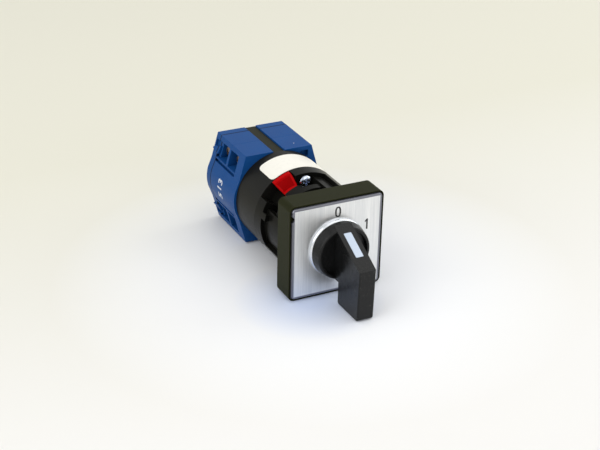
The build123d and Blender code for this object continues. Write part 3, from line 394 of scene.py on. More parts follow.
@dataclass(frozen=True)
class Stock:
    """Coated label stock or printing ink."""

    name: str
    slot: Slot
    colour: Colour
    worn: Colour
    roughness: float = 0.4
    wear: float = 0.2

    def material(self) -> bpy.types.Material:
        """Builds the coating's material.

        Returns:
            The material.
        """
        shade = Shade.named(self.name)
        place = shade.place()
        blot = shade.noise(place, 0.7, 4.0, 0.6)
        fine = shade.noise(place, 12.0, 2.0)
        worn = ((blot - 0.5) * 4.0).share() * self.wear
        tone = shade.mix(worn, self.colour, self.worn)
        rough = self.roughness + (fine - 0.5) * 0.1
        return shade.surface(Base_Color=tone, Roughness=rough, Normal=shade.bump(fine, 0.002))


class Finish(Enum):
    """Finishes of the switch."""

    BLACK = Moulded(
        "black_moulding", Slot.BLACK, (0.0036, 0.0036, 0.003), (0.009, 0.009, 0.0074), 0.3, 0.008, 0.06
    )
    HOUSING = Moulded(
        "housing_moulding", Slot.BLACK, (0.007, 0.007, 0.0063), (0.0175, 0.0175, 0.015), 0.36, 0.012, 0.085
    )
    BEZEL = Moulded(
        "bezel_moulding", Slot.GREY, (0.0115, 0.0128, 0.0025), (0.023, 0.0255, 0.009), 0.44, 0.02, 0.05
    )
    # The knob's finish has pale specks in front of Y -22.8.
    KNOB = Moulded(
        "knob_moulding", Slot.BLACK, (0.005, 0.0052, 0.0054), (0.0118, 0.0122, 0.0124), 0.27, 0.006, 0.25, None, -22.8
    )
    # The blue finish paints a dark band of shade along the seam at Y 48.6, between the rear stage and the end cover.
    BLUE = Moulded(
        "blue_moulding", Slot.BLUE, (0.004, 0.052, 0.205), (0.014, 0.088, 0.285), 0.4, 0.01, 0.07, 48.6
    )
    RED = Moulded(
        "red_moulding", Slot.RED, (0.25, 0.0006, 0.001), (0.33, 0.002, 0.003), 0.34, 0.008, 0.02
    )
    # A lighter copy of the red: painted light on the lock tab outside its dish.
    RED_LIT_COPY = Moulded(
        "red_lit_copy", Slot.RED, (0.40, 0.0012, 0.002), (0.50, 0.004, 0.005), 0.34, 0.008, 0.02
    )
    STRAP = Moulded(
        "strap_moulding", Slot.BLACK, (0.016, 0.017, 0.0095), (0.027, 0.029, 0.018), 0.46, 0.012, 0.06
    )
    NATURAL = Moulded(
        "natural_moulding", Slot.NATURAL, (0.62, 0.59, 0.5), (0.72, 0.7, 0.62), 0.45, 0.01
    )
    INSERT = Moulded(
        "insert_moulding", Slot.INSERT, (0.50, 0.59, 0.72), (0.62, 0.69, 0.80), 0.3, 0.004, 0.4
    )
    SEAL = Moulded(
        "seal_rubber", Slot.SEAL, (0.01, 0.01, 0.01), (0.025, 0.025, 0.024), 0.75, 0.03, 0.2
    )
    PLATE = Brushed("brushed_aluminium", Slot.PLATE, (0.93, 0.935, 0.93), (0.66, 0.68, 0.70))
    CHROME = Metal("bright_ring", Slot.CHROME, (0.82, 0.84, 0.88), (0.66, 0.69, 0.74), 0.2)
    ZINC = Metal("zinc_plated_steel", Slot.ZINC, (0.72, 0.77, 0.88), (0.44, 0.50, 0.64), 0.24)
    DULL = Metal("dull_terminal_metal", Slot.ZINC, (0.26, 0.20, 0.16), (0.12, 0.09, 0.075), 0.4)
    SPRING = Metal("spring_steel", Slot.SPRING, (0.55, 0.55, 0.56), (0.38, 0.38, 0.40), 0.3)
    COPPER = Metal("copper_alloy", Slot.COPPER, (0.80, 0.50, 0.26), (0.62, 0.36, 0.18), 0.3)
    LABEL = Stock("label_stock", Slot.LABEL, (0.86, 0.84, 0.77), (0.74, 0.72, 0.66), 0.42, 0.35)
    BLACK_INK = Stock("black_ink", Slot.BLACK, (0.012, 0.012, 0.013), (0.06, 0.06, 0.06), 0.45, 0.4)
    WHITE_INK = Stock("white_ink", Slot.LABEL, (0.62, 0.66, 0.72), (0.30, 0.36, 0.48), 0.5, 0.6)


@lru_cache(maxsize=None)
def paint(finish: Finish) -> bpy.types.Material:
    """The material of a finish, built at the first request."""
    return finish.value.material()


# --- mesh making
def on_clock(radius: float, angle: float) -> Tuple[float, float]:
    """X and Z of a clock angle at a radius."""
    return radius * math.sin(math.radians(angle)), radius * math.cos(math.radians(angle))


def welded(node: str) -> bmesh.types.BMesh:
    """Welds a copy of a CAD node and joins its flat faces.

    Args:
        node: The node's name.

    Returns:
        The welded mesh.
    """
    shell = bmesh.new()
    shell.from_mesh(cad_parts[node].data)
    bmesh.ops.remove_doubles(shell, verts=shell.verts, dist=WELD)
    bmesh.ops.dissolve_degenerate(shell, dist=1e-6, edges=shell.edges)
    bmesh.ops.dissolve_limit(shell, angle_limit=FLAT, verts=shell.verts, edges=shell.edges)
    return shell


def linked(name: str, shell: bmesh.types.BMesh) -> bpy.types.Object:
    """Turns a bmesh into an object at the origin.

    Args:
        name: The object's name.
        shell: The mesh, which is freed.

    Returns:
        The object, linked to the scene.
    """
    mesh = bpy.data.meshes.new(name)
    shell.to_mesh(mesh)
    shell.free()
    made = bpy.data.objects.new(name, mesh)
    bpy.context.scene.collection.objects.link(made)
    return made


def settled(made: bpy.types.Object) -> bpy.types.Object:
    """Applies an object's modifiers through the evaluated mesh and removes them.

    Args:
        made: The object.

    Returns:
        The same object with a plain mesh.
    """
    graph = bpy.context.evaluated_depsgraph_get()
    mesh = bpy.data.meshes.new_from_object(
        made.evaluated_get(graph), preserve_all_data_layers=True, depsgraph=graph
    )
    made.modifiers.clear()
    made.data = mesh
    return made


def softened(
    made: bpy.types.Object, width: float, segments: int = 2, angle: float = 30.0
) -> bpy.types.Object:
    """Rounds the sharp edges of an object.

    Args:
        made: The object, with no modifier.
        width: Width of the rounding in millimetres.
        segments: Faces across the rounding.
        angle: Edges sharper than this many degrees are rounded.

    Returns:
        The same object with its edges rounded.
    """
    for face in made.data.polygons:
        face.use_smooth = True
    bevel = made.modifiers.new("edges", "BEVEL")
    bevel.width = width * MM
    bevel.segments = segments
    bevel.limit_method = "ANGLE"
    bevel.angle_limit = math.radians(angle)
    bevel.use_clamp_overlap = True
    bevel.miter_outer = "MITER_ARC"
    normals = made.modifiers.new("normals", "WEIGHTED_NORMAL")
    normals.keep_sharp = True
    normals.weight = 60
    return settled(made)


def published(
    made: bpy.types.Object,
    finish: Finish,
    body: Body = Body.HOUSING,
    nodes: Sequence[str] = (),
) -> bpy.types.Object:
    """Dresses a finished piece and puts it on its body.

    Args:
        made: The piece, at the origin.
        finish: Its finish.
        body: The body that it rides on.
        nodes: CAD nodes that it stands for.

    Returns:
        The piece.
    """
    if not made.data.materials:
        made.data.materials.append(paint(finish))
    if nodes:
        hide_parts(*nodes)
    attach(made, body.value)
    LOG.info("%s: %d faces on %s", made.name, len(made.data.polygons), body.value)
    return made


@dataclass(frozen=True)
class Piece:
    """A CAD node that is made again with its edges rounded as the mould leaves them."""

    node: str
    finish: Finish
    edge: float
    segments: int = 2

    def build(self, body: Body = Body.HOUSING) -> bpy.types.Object:
        """Makes the piece.

        Args:
            body: The body that it rides on.

        Returns:
            The piece.
        """
        return self.finished(linked(f"{self.node}_moulding", welded(self.node)), body)

    def finished(self, made: bpy.types.Object, body: Body = Body.HOUSING) -> bpy.types.Object:
        """Rounds, dresses and mounts a shape made for the piece.

        Args:
            made: The shape, with no modifier.
            body: The body that it rides on.

        Returns:
            The piece.
        """
        softened(made, self.edge, self.segments)
        return published(made, self.finish, body, (self.node,))


def carried(node: str, finish: Finish) -> None:
    """Gives a CAD node that stays in the scene its finish.

    Args:
        node: The node's name.
        finish: Its finish.
    """
    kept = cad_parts[node]
    kept.data.materials.clear()
    kept.data.materials.append(paint(finish))
    LOG.info("%s: carried over as %s", node, finish.name)


# --- geometry trees
class Tree:
    """A Geometry Nodes tree with named inputs."""

    def __init__(self, name: str) -> None:
        """Makes a tree with a geometry input and output.

        Args:
            name: The tree's name.
        """
        self.group = bpy.data.node_groups.new(name, "GeometryNodeTree")
        for way in ("INPUT", "OUTPUT"):
            self.group.interface.new_socket(
                "Geometry", in_out=way, socket_type="NodeSocketGeometry"
            )
        self.entry = self.group.nodes.new("NodeGroupInput")
        self.exit = self.group.nodes.new("NodeGroupOutput")
        self.identifiers: Dict[str, str] = {}

    def size(self, name: str, kind: str = "NodeSocketFloat") -> bpy.types.NodeSocket:
        """Adds a named input.

        Args:
            name: The input's name.
            kind: Its socket type.

        Returns:
            The socket to link from inside the tree.
        """
        made = self.group.interface.new_socket(name, in_out="INPUT", socket_type=kind)
        self.identifiers[name] = made.identifier
        return self.entry.outputs[name]

    def node(
        self, kind: str, settings: Optional[Dict[str, Any]] = None, **inputs: Any
    ) -> bpy.types.Node:
        """Adds a node.

        Args:
            kind: The node's type.
            settings: Properties of the node, set first.
            inputs: Values or sockets by input name, with underscores for spaces.

        Returns:
            The node.
        """
        made = self.group.nodes.new(kind)
        for key, value in (settings or {}).items():
            setattr(made, key, value)
        for key, value in inputs.items():
            self.feed(made.inputs[key.replace("_", " ")], value)
        return made

    def feed(self, socket: bpy.types.NodeSocket, value: Any) -> None:
        """Links or sets an input.

        Args:
            socket: The input.
            value: Another node's output, or a plain value.
        """
        if isinstance(value, bpy.types.NodeSocket):
            self.group.links.new(value, socket)
        else:
            socket.default_value = value

    def maths(self, operation: str, first: Any, second: Any) -> bpy.types.NodeSocket:
        """A Math node on two numbers or sockets.

        Args:
            operation: The node's operation.
            first: Its first number or socket.
            second: Its second number or socket.

        Returns:
            Its result.
        """
        made = self.node("ShaderNodeMath", {"operation": operation})
        for socket, value in zip(made.inputs, (first, second)):
            self.feed(socket, value)
        return made.outputs[0]

    def end(self, geometry: bpy.types.NodeSocket) -> None:
        """Realizes the instances, sets the material input and ends the tree.

        Args:
            geometry: The instances.
        """
        material = self.entry.outputs["Material"]
        real = self.node("GeometryNodeRealizeInstances", Geometry=geometry)
        painted = self.node("GeometryNodeSetMaterial", Geometry=real.outputs[0], Material=material)
        self.group.links.new(painted.outputs[0], self.exit.inputs[0])

    def applied(self, made: bpy.types.Object, values: Dict[str, Any]) -> bpy.types.Object:
        """Runs the tree on an object and leaves a plain mesh.

        Args:
            made: The object that gives the points.
            values: Values of the named inputs.

        Returns:
            The same object with the tree's result as its mesh.
        """
        modifier = made.modifiers.new(self.group.name, "NODES")
        modifier.node_group = self.group
        for name, value in values.items():
            modifier[self.identifiers[name]] = value
        return settled(made)


def screw_tree() -> Tree:
    """Tree that stands a cross-recessed pan screw on each point, its head facing one way.

    Returns:
        The tree. Its inputs are the sizes of ScrewSize, the Direction and the Material.
    """
    tree = Tree("screws")
    sizes = [tree.size(field.name.title()) for field in fields(ScrewSize)]
    head, height, dome, shank, length, recess, depth = sizes
    direction = tree.size("Direction", "NodeSocketVector")
    tree.size("Material", "NodeSocketMaterial")
    disc = tree.node(
        "GeometryNodeMeshCylinder", Vertices=40, Fill_Segments=6, Radius=head, Depth=height
    )
    up = tree.node("ShaderNodeCombineXYZ", Z=tree.maths("MULTIPLY", height, 0.5))
    raised = tree.node("GeometryNodeTransform", Geometry=disc.outputs[0], Translation=up.outputs[0])
    place = tree.node("GeometryNodeInputPosition")
    axes = tree.node("ShaderNodeSeparateXYZ", Vector=place.outputs[0])
    across = tree.maths("MULTIPLY", axes.outputs[0], axes.outputs[0])
    along = tree.maths("MULTIPLY", axes.outputs[1], axes.outputs[1])
    share = tree.maths("DIVIDE", tree.maths("ADD", across, along), tree.maths("MULTIPLY", head, head))
    on_top = tree.maths("GREATER_THAN", axes.outputs[2], tree.maths("MULTIPLY", height, 0.5))
    fall = tree.maths("MULTIPLY", tree.maths("POWER", share, 1.6), tree.maths("MULTIPLY", dome, -1.0))
    shift = tree.node("ShaderNodeCombineXYZ", Z=tree.maths("MULTIPLY", fall, on_top))
    domed = tree.node("GeometryNodeSetPosition", Geometry=raised.outputs[0], Offset=shift.outputs[0])
    arm = tree.maths("MULTIPLY", head, 1.15)
    at_top = tree.node("ShaderNodeCombineXYZ", Z=height)
    cut = tree.node("GeometryNodeMeshBoolean", {"operation": "DIFFERENCE", "solver": "EXACT"})
    tree.group.links.new(domed.outputs[0], cut.inputs["Mesh 1"])
    for wide, narrow in ((arm, recess), (recess, arm)):
        size = tree.node("ShaderNodeCombineXYZ", X=wide, Y=narrow, Z=tree.maths("MULTIPLY", depth, 2.0))
        cube = tree.node("GeometryNodeMeshCube", Size=size.outputs[0])
        moved = tree.node("GeometryNodeTransform", Geometry=cube.outputs[0], Translation=at_top.outputs[0])
        tree.group.links.new(moved.outputs[0], cut.inputs["Mesh 2"])
    rod = tree.node("GeometryNodeMeshCylinder", Vertices=24, Radius=shank, Depth=length)
    down = tree.node("ShaderNodeCombineXYZ", Z=tree.maths("MULTIPLY", length, -0.5))
    sunk = tree.node("GeometryNodeTransform", Geometry=rod.outputs[0], Translation=down.outputs[0])
    joined = tree.node("GeometryNodeJoinGeometry")
    tree.group.links.new(cut.outputs[0], joined.inputs[0])
    tree.group.links.new(sunk.outputs[0], joined.inputs[0])
    aim = tree.node("FunctionNodeAlignRotationToVector", {"axis": "Z"}, Vector=direction)
    rows = tree.node(
        "GeometryNodeInstanceOnPoints",
        Points=tree.entry.outputs["Geometry"],
        Instance=joined.outputs[0],
        Rotation=aim.outputs[0],
    )
    tree.end(rows.outputs[0])
    return tree


def seeds(name: str, places: Sequence[Vector]) -> bpy.types.Object:
    """Loose points that a tree puts its copies on.

    Args:
        name: The object's name.
        places: Places in metres.

    Returns:
        An object with one vertex per place.
    """
    mesh = bpy.data.meshes.new(name)
    mesh.from_pydata([tuple(place) for place in places], [], [])
    made = bpy.data.objects.new(name, mesh)
    bpy.context.scene.collection.objects.link(made)
    return made


def islands(node: str) -> List[Tuple[Vector, Vector]]:
    """Corner pairs of the box of each loose part of a CAD node.

    Args:
        node: The node's name.

    Returns:
        Low and high corners in metres, sorted by place.
    """
    shell = bmesh.new()
    shell.from_mesh(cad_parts[node].data)
    bmesh.ops.remove_doubles(shell, verts=shell.verts, dist=WELD)
    shell.verts.ensure_lookup_table()
    left = set(range(len(shell.verts)))
    found = []
    while left:
        queue = [left.pop()]
        low, high = Vector((9, 9, 9)), Vector((-9, -9, -9))
        while queue:
            vert = shell.verts[queue.pop()]
            low = Vector(map(min, low, vert.co))
            high = Vector(map(max, high, vert.co))
            for edge in vert.link_edges:
                other = edge.other_vert(vert).index
                if other in left:
                    left.discard(other)
                    queue.append(other)
        found.append((low, high))
    shell.free()
    return sorted(found, key=lambda pair: tuple(round(value, 5) for value in pair[0]))


def lathed(
    name: str, profile: Sequence[Tuple[float, float]], steps: int = 144
) -> bpy.types.Object:
    """Turns a closed profile about the shaft axis.

    Args:
        name: The object's name.
        profile: Pairs of radius and Y in millimetres, in order round the section.
        steps: Faces round the axis.

    Returns:
        The turned ring.
    """
    shell = bmesh.new()
    rows = []
    for step in range(steps):
        angle = 360.0 * step / steps
        row = []
        for radius, along in profile:
            x, z = on_clock(radius, angle)
            row.append(shell.verts.new((x * MM, along * MM, z * MM)))
        rows.append(row)
    count = len(profile)
    for step, row in enumerate(rows):
        after = rows[(step + 1) % steps]
        for place in range(count):
            nxt = (place + 1) % count
            shell.faces.new((row[place], row[nxt], after[nxt], after[place]))
    bmesh.ops.recalc_face_normals(shell, faces=shell.faces)
    return linked(name, shell)


def flat_shape(
    name: str, loops: Sequence[Sequence[Tuple[float, float]]], front: float, depth: float
) -> bpy.types.Object:
    """Fills flat loops facing the front and gives them a thickness.

    Args:
        name: The object's name.
        loops: Outer and inner outlines as pairs of X and Z in millimetres.
        front: Y of the front face in millimetres.
        depth: Thickness behind the front face in millimetres.

    Returns:
        The flat piece.
    """
    shell = bmesh.new()
    edges = []
    for loop in loops:
        verts = [shell.verts.new((x * MM, front * MM, z * MM)) for x, z in loop]
        edges += [shell.edges.new((verts[i], verts[(i + 1) % len(verts)])) for i in range(len(verts))]
    bmesh.ops.triangle_fill(shell, use_beauty=True, edges=edges)
    extruded = bmesh.ops.extrude_face_region(shell, geom=list(shell.faces))
    moved = [item for item in extruded["geom"] if isinstance(item, bmesh.types.BMVert)]
    bmesh.ops.translate(shell, verts=moved, vec=(0.0, depth * MM, 0.0))
    bmesh.ops.recalc_face_normals(shell, faces=shell.faces)
    return linked(name, shell)


# --- sub-assemblies
@dataclass
class FrontPlate:
    """Bezel, brushed plate, trim ring and the two plain position digits."""

    pieces: Tuple[Piece, ...] = (
        Piece("bezel", Finish.BEZEL, 0.1),
        Piece("face_plate", Finish.PLATE, 0.08),
        Piece("panel_seal", Finish.SEAL, 0.12),
    )
    digit_height: float = 3.3
    digit_stroke: float = 0.52
    digit_corners: int = 56
    roundness: float = 0.82
    ink: float = 0.02
    zero: Tuple[float, float] = (0.0, 11.05)
    one: Tuple[float, float] = (9.56, 5.36)
    trim: float = 8.95
    trim_crown: float = 0.85
    trim_bore: float = 7.4
    trim_lip: float = 0.25
    trim_wall: float = 0.8
    crown_steps: int = 8

    def build(self) -> None:
        """Makes every piece of the front."""
        for piece in self.pieces:
            piece.build()
        self.ring()
        self.digits()

    def ring(self) -> None:
        """Turns the bright trim ring with its rolled crown."""
        low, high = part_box("trim_ring")
        plate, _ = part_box("face_plate")
        front, back, seat = low.y / MM, high.y / MM, plate.y / MM
        bore, lip = self.trim_bore, self.trim_lip
        profile = [(bore, back), (bore, front + lip), (bore + lip, front)]
        for step in range(self.crown_steps + 1):
            angle = math.radians(90.0 * step / self.crown_steps)
            fall = self.trim_crown * (1 - math.sin(angle))
            rise = self.trim_crown * (1 - math.cos(angle))
            profile.append((self.trim - fall, front + rise))
        inside = self.trim - self.trim_wall
        profile += [(self.trim, seat), (inside, seat), (inside, back)]
        made = softened(lathed("trim_ring_turned", profile), 0.06, 2, 40.0)
        published(made, Finish.CHROME, Body.HOUSING, ("trim_ring",))

    def digits(self) -> None:
        """Prints a plain 0 and 1 on the plate."""
        low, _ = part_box("face_plate")
        front = low.y / MM - self.ink
        half, stroke = self.digit_height / 2, self.digit_stroke
        width = half * 0.58
        outer = self.oval(width, half)
        inner = self.oval(width - stroke, half - stroke * 0.85)
        zero = flat_shape("digit_zero", (outer, inner), front, self.ink + 0.01)
        published(zero, Finish.BLACK_INK)
        x, z = self.one
        bar = [
            (x + stroke / 2, z - half),
            (x + stroke / 2, z + half),
            (x - stroke / 2 + 0.1, z + half),
            (x - width * 0.75, z + half * 0.62),
            (x - width * 0.75, z + half * 0.33),
            (x - stroke / 2, z + half * 0.58),
            (x - stroke / 2, z - half),
        ]
        one = flat_shape("digit_one", (bar,), front, self.ink + 0.01)
        published(one, Finish.BLACK_INK)

    def oval(self, width: float, height: float) -> List[Tuple[float, float]]:
        """A rounded outline about the middle of the zero.

        Args:
            width: Half its width in millimetres.
            height: Half its height in millimetres.

        Returns:
            Its corners as pairs of X and Z.
        """
        corners = []
        for step in range(self.digit_corners):
            angle = math.tau * step / self.digit_corners
            cosine, sine = math.cos(angle), math.sin(angle)
            x = math.copysign(abs(cosine) ** self.roundness, cosine) * width
            z = math.copysign(abs(sine) ** self.roundness, sine) * height
            corners.append((self.zero[0] + x, self.zero[1] + z))
        return corners


@dataclass
class KnobSet:
    """Lever knob with its pale insert, and the drive train behind it."""

    pieces: Tuple[Piece, ...] = (
        Piece("knob", Finish.KNOB, 0.3, 3),
        Piece("pointer_insert", Finish.INSERT, 0.12),
        Piece("knob_clip", Finish.SPRING, 0.06),
        Piece("drive_sleeve", Finish.NATURAL, 0.1),
        Piece("sleeve_clip", Finish.SPRING, 0.06),
        Piece("shaft", Finish.ZINC, 0.1),
        Piece("star_wheel", Finish.NATURAL, 0.12),
        Piece("cam_front", Finish.NATURAL, 0.12),
        Piece("cam_rear", Finish.NATURAL, 0.12),
    )

    def build(self) -> None:
        """Makes every piece that turns with the knob."""
        for piece in self.pieces:
            piece.build(Body.KNOB)


@dataclass(frozen=True)
class ScrewSize:
    """Sizes of a cross-recessed screw in millimetres."""

    head: float
    height: float
    dome: float
    shank: float
    length: float
    recess: float
    depth: float


class Screws:
    """Stands a recessed screw on each screw of a CAD node."""

    def __init__(self) -> None:
        """Builds the screw tree once."""
        self.tree = screw_tree()

    def build(self, node: str, size: ScrewSize, direction: Point, finish: Finish = Finish.ZINC) -> None:
        """Makes the screws of one CAD node.

        Args:
            node: The CAD node that they stand for.
            size: The screw's sizes.
            direction: The way its head faces.
            finish: Its metal.
        """
        ahead = Vector(direction)
        places = []
        for low, high in islands(node):
            middle = (low + high) / 2
            reach = Vector(high - low).dot(Vector(map(abs, ahead))) / 2
            places.append(middle + ahead * (reach - size.height * MM))
        values = {name.title(): value * MM for name, value in asdict(size).items()}
        values.update({"Direction": direction, "Material": paint(finish)})
        made = self.tree.applied(seeds(f"{node}_recessed", places), values)
        softened(made, 0.07, 2, 35.0)
        published(made, finish, Body.HOUSING, (node,))


@dataclass
class Ring:
    """Mounting ring with its screws and the lock lever."""

    frame_piece: Piece = Piece("mounting_ring", Finish.BLACK, 0.14)
    lock: Piece = Piece("lock_ring", Finish.BLACK, 0.1)
    thumb: Piece = Piece("lock_lever", Finish.RED, 0.26, 3)
    screw: ScrewSize = ScrewSize(1.85, 1.95, 0.6, 1.4, 6.0, 0.55, 1.1)
    rim: float = 0.6
    dish: float = 0.42
    slope_start: float = 11.0

    def build(self, screws: Screws) -> None:
        """Makes the ring, its screws and the lock lever.

        Args:
            screws: The maker of recessed screws.
        """
        self.frame_piece.build()
        self.lock.build(Body.LOCK)
        self.tab()
        screws.build("ring_screws", self.screw, (0.0, -1.0, 0.0))

    def tab(self) -> None:
        """Shapes the red thumb tab: a raised rim round its dished slope."""
        shell = welded(self.thumb.node)
        dish = [face for face in shell.faces if self.on_slope(face)]
        bmesh.ops.inset_region(
            shell,
            faces=dish,
            thickness=self.rim * MM,
            depth=-self.dish * MM,
            use_even_offset=True,
        )
        # Painted light and shade: the dish keeps the darker red, and the rest of the tab takes a lighter copy of the
        # same red.
        for face in shell.faces:
            face.material_index = 1
        for face in dish:
            face.material_index = 0
        made = linked("lock_tab_dished", shell)
        for finish in (Finish.RED, Finish.RED_LIT_COPY):
            made.data.materials.append(paint(finish))
        self.thumb.finished(made, Body.LOCK)

    def on_slope(self, face: bmesh.types.BMFace) -> bool:
        """Whether a face belongs to the tab's outer slope.

        Args:
            face: A face of the welded tab.

        Returns:
            True for the faces that the thumb pushes on.
        """
        middle = face.calc_center_median() / MM
        outward = Vector((middle.x, 0.0, middle.z)).normalized()
        leans = face.normal.dot(outward)
        return leans > 0.25 and face.normal.y < -0.12 and middle.y > self.slope_start


@dataclass
class Latch:
    """Latch housing with the detent, and its blank label."""

    pieces: Tuple[Piece, ...] = (
        Piece("latch_housing", Finish.HOUSING, 0.14),
        Piece("latch_plate", Finish.BLACK, 0.1),
    )
    corner: float = 1.6
    thickness: float = 0.09
    radius: float = 14.49
    start: float = -36.5
    end: float = 43.0
    front: float = 17.12
    back: float = 27.08
    steps: int = 96

    def build(self) -> None:
        """Makes the housing, the detent and the label."""
        for piece in self.pieces:
            piece.build()
        for side in SIDES:
            carried(f"detent_spring_{side}", Finish.SPRING)
        self.label()

    def label(self) -> None:
        """Wraps the blank label, with its rounded corners, over the housing."""
        shell = bmesh.new()
        rows = []
        for step in range(self.steps + 1):
            angle = self.start + (self.end - self.start) * step / self.steps
            arc = math.radians(min(angle - self.start, self.end - angle)) * self.radius
            short = max(self.corner - arc, 0.0)
            inset = self.corner - math.sqrt(self.corner**2 - short**2)
            front, back = self.front + inset, self.back - inset
            row = []
            for radius in (self.radius, self.radius - self.thickness):
                x, z = on_clock(radius, angle)
                row += [shell.verts.new((x * MM, along * MM, z * MM)) for along in (front, back)]
            rows.append(row)
        for first, after in zip(rows, rows[1:]):
            for one, two in ((0, 1), (1, 3), (3, 2), (2, 0)):
                shell.faces.new((first[one], first[two], after[two], after[one]))
        for row in (rows[0], rows[-1]):
            shell.faces.new((row[0], row[1], row[3], row[2]))
        bmesh.ops.recalc_face_normals(shell, faces=shell.faces)
        made = linked("blank_label", shell)
        published(made, Finish.LABEL, Body.HOUSING, ("rating_label",))


@dataclass
class Marks:
    """Plain terminal numbers on the left band of the block, and a fleck of paint on its top."""

    height: float = 2.9
    band: float = 15.1
    bulge: float = 12.33
    lift: float = 0.004
    font_share: float = 1.35
    boldness: float = 0.09
    numbers: Tuple[Tuple[str, float, float], ...] = (
        ("3", 41.0, 2.35),
        ("1", 41.4, 0.1),
        ("5", 41.1, -2.3),
    )
    fleck: Point = (6.6, 33.9, 14.5)
    fleck_corners: int = 14
    fleck_radius: float = 0.17
    fleck_crown: float = 0.05

    def build(self) -> None:
        """Prints the numbers and the fleck."""
        for text, along, height in self.numbers:
            self.number(text, along, height)
        self.splash()

    def splash(self) -> None:
        """Drops the small fleck of paint."""
        shell = bmesh.new()
        around = []
        middle = Vector(self.fleck)
        for step in range(self.fleck_corners):
            reach = self.fleck_radius + 0.05 * math.sin(2.1 * step)
            turn = math.tau * step / self.fleck_corners
            corner = middle + Vector((reach * math.cos(turn), reach * math.sin(turn), 0.0))
            around.append(shell.verts.new(corner * MM))
        crown = shell.verts.new((middle + Vector((0.0, 0.0, self.fleck_crown))) * MM)
        for step, corner in enumerate(around):
            shell.faces.new((corner, around[(step + 1) % len(around)], crown))
        shell.faces.new(list(reversed(around)))
        bmesh.ops.recalc_face_normals(shell, faces=shell.faces)
        published(linked("paint_fleck", shell), Finish.WHITE_INK)

    def number(self, text: str, along: float, height: float) -> None:
        """Prints one number on the curved band, reading upwards.

        Args:
            text: The number.
            along: Y of its middle in millimetres.
            height: Z of its middle in millimetres.
        """
        curve = bpy.data.curves.new(f"terminal_number_{text}", "FONT")
        curve.body = text
        curve.size = self.height * self.font_share * MM
        curve.align_x = "CENTER"
        curve.align_y = "CENTER"
        curve.offset = self.boldness * MM
        source = bpy.data.objects.new(curve.name, curve)
        bpy.context.scene.collection.objects.link(source)
        graph = bpy.context.evaluated_depsgraph_get()
        mesh = bpy.data.meshes.new_from_object(source.evaluated_get(graph), depsgraph=graph)
        bpy.data.objects.remove(source)
        shell = bmesh.new()
        shell.from_mesh(mesh)
        bmesh.ops.remove_doubles(shell, verts=shell.verts, dist=1e-7)
        bmesh.ops.subdivide_edges(shell, edges=shell.edges, cuts=2)
        bulge = self.bulge * MM
        for vert in shell.verts:
            y, z = along * MM + vert.co.y, height * MM + vert.co.x
            fall = bulge - math.sqrt(bulge**2 - z * z)
            vert.co = (-min(self.band * MM, (self.band + self.lift) * MM - fall), y, z)
        for face in shell.faces:
            if face.normal.x > 0:
                face.normal_flip()
        published(linked(f"printed_{curve.name}", shell), Finish.WHITE_INK)


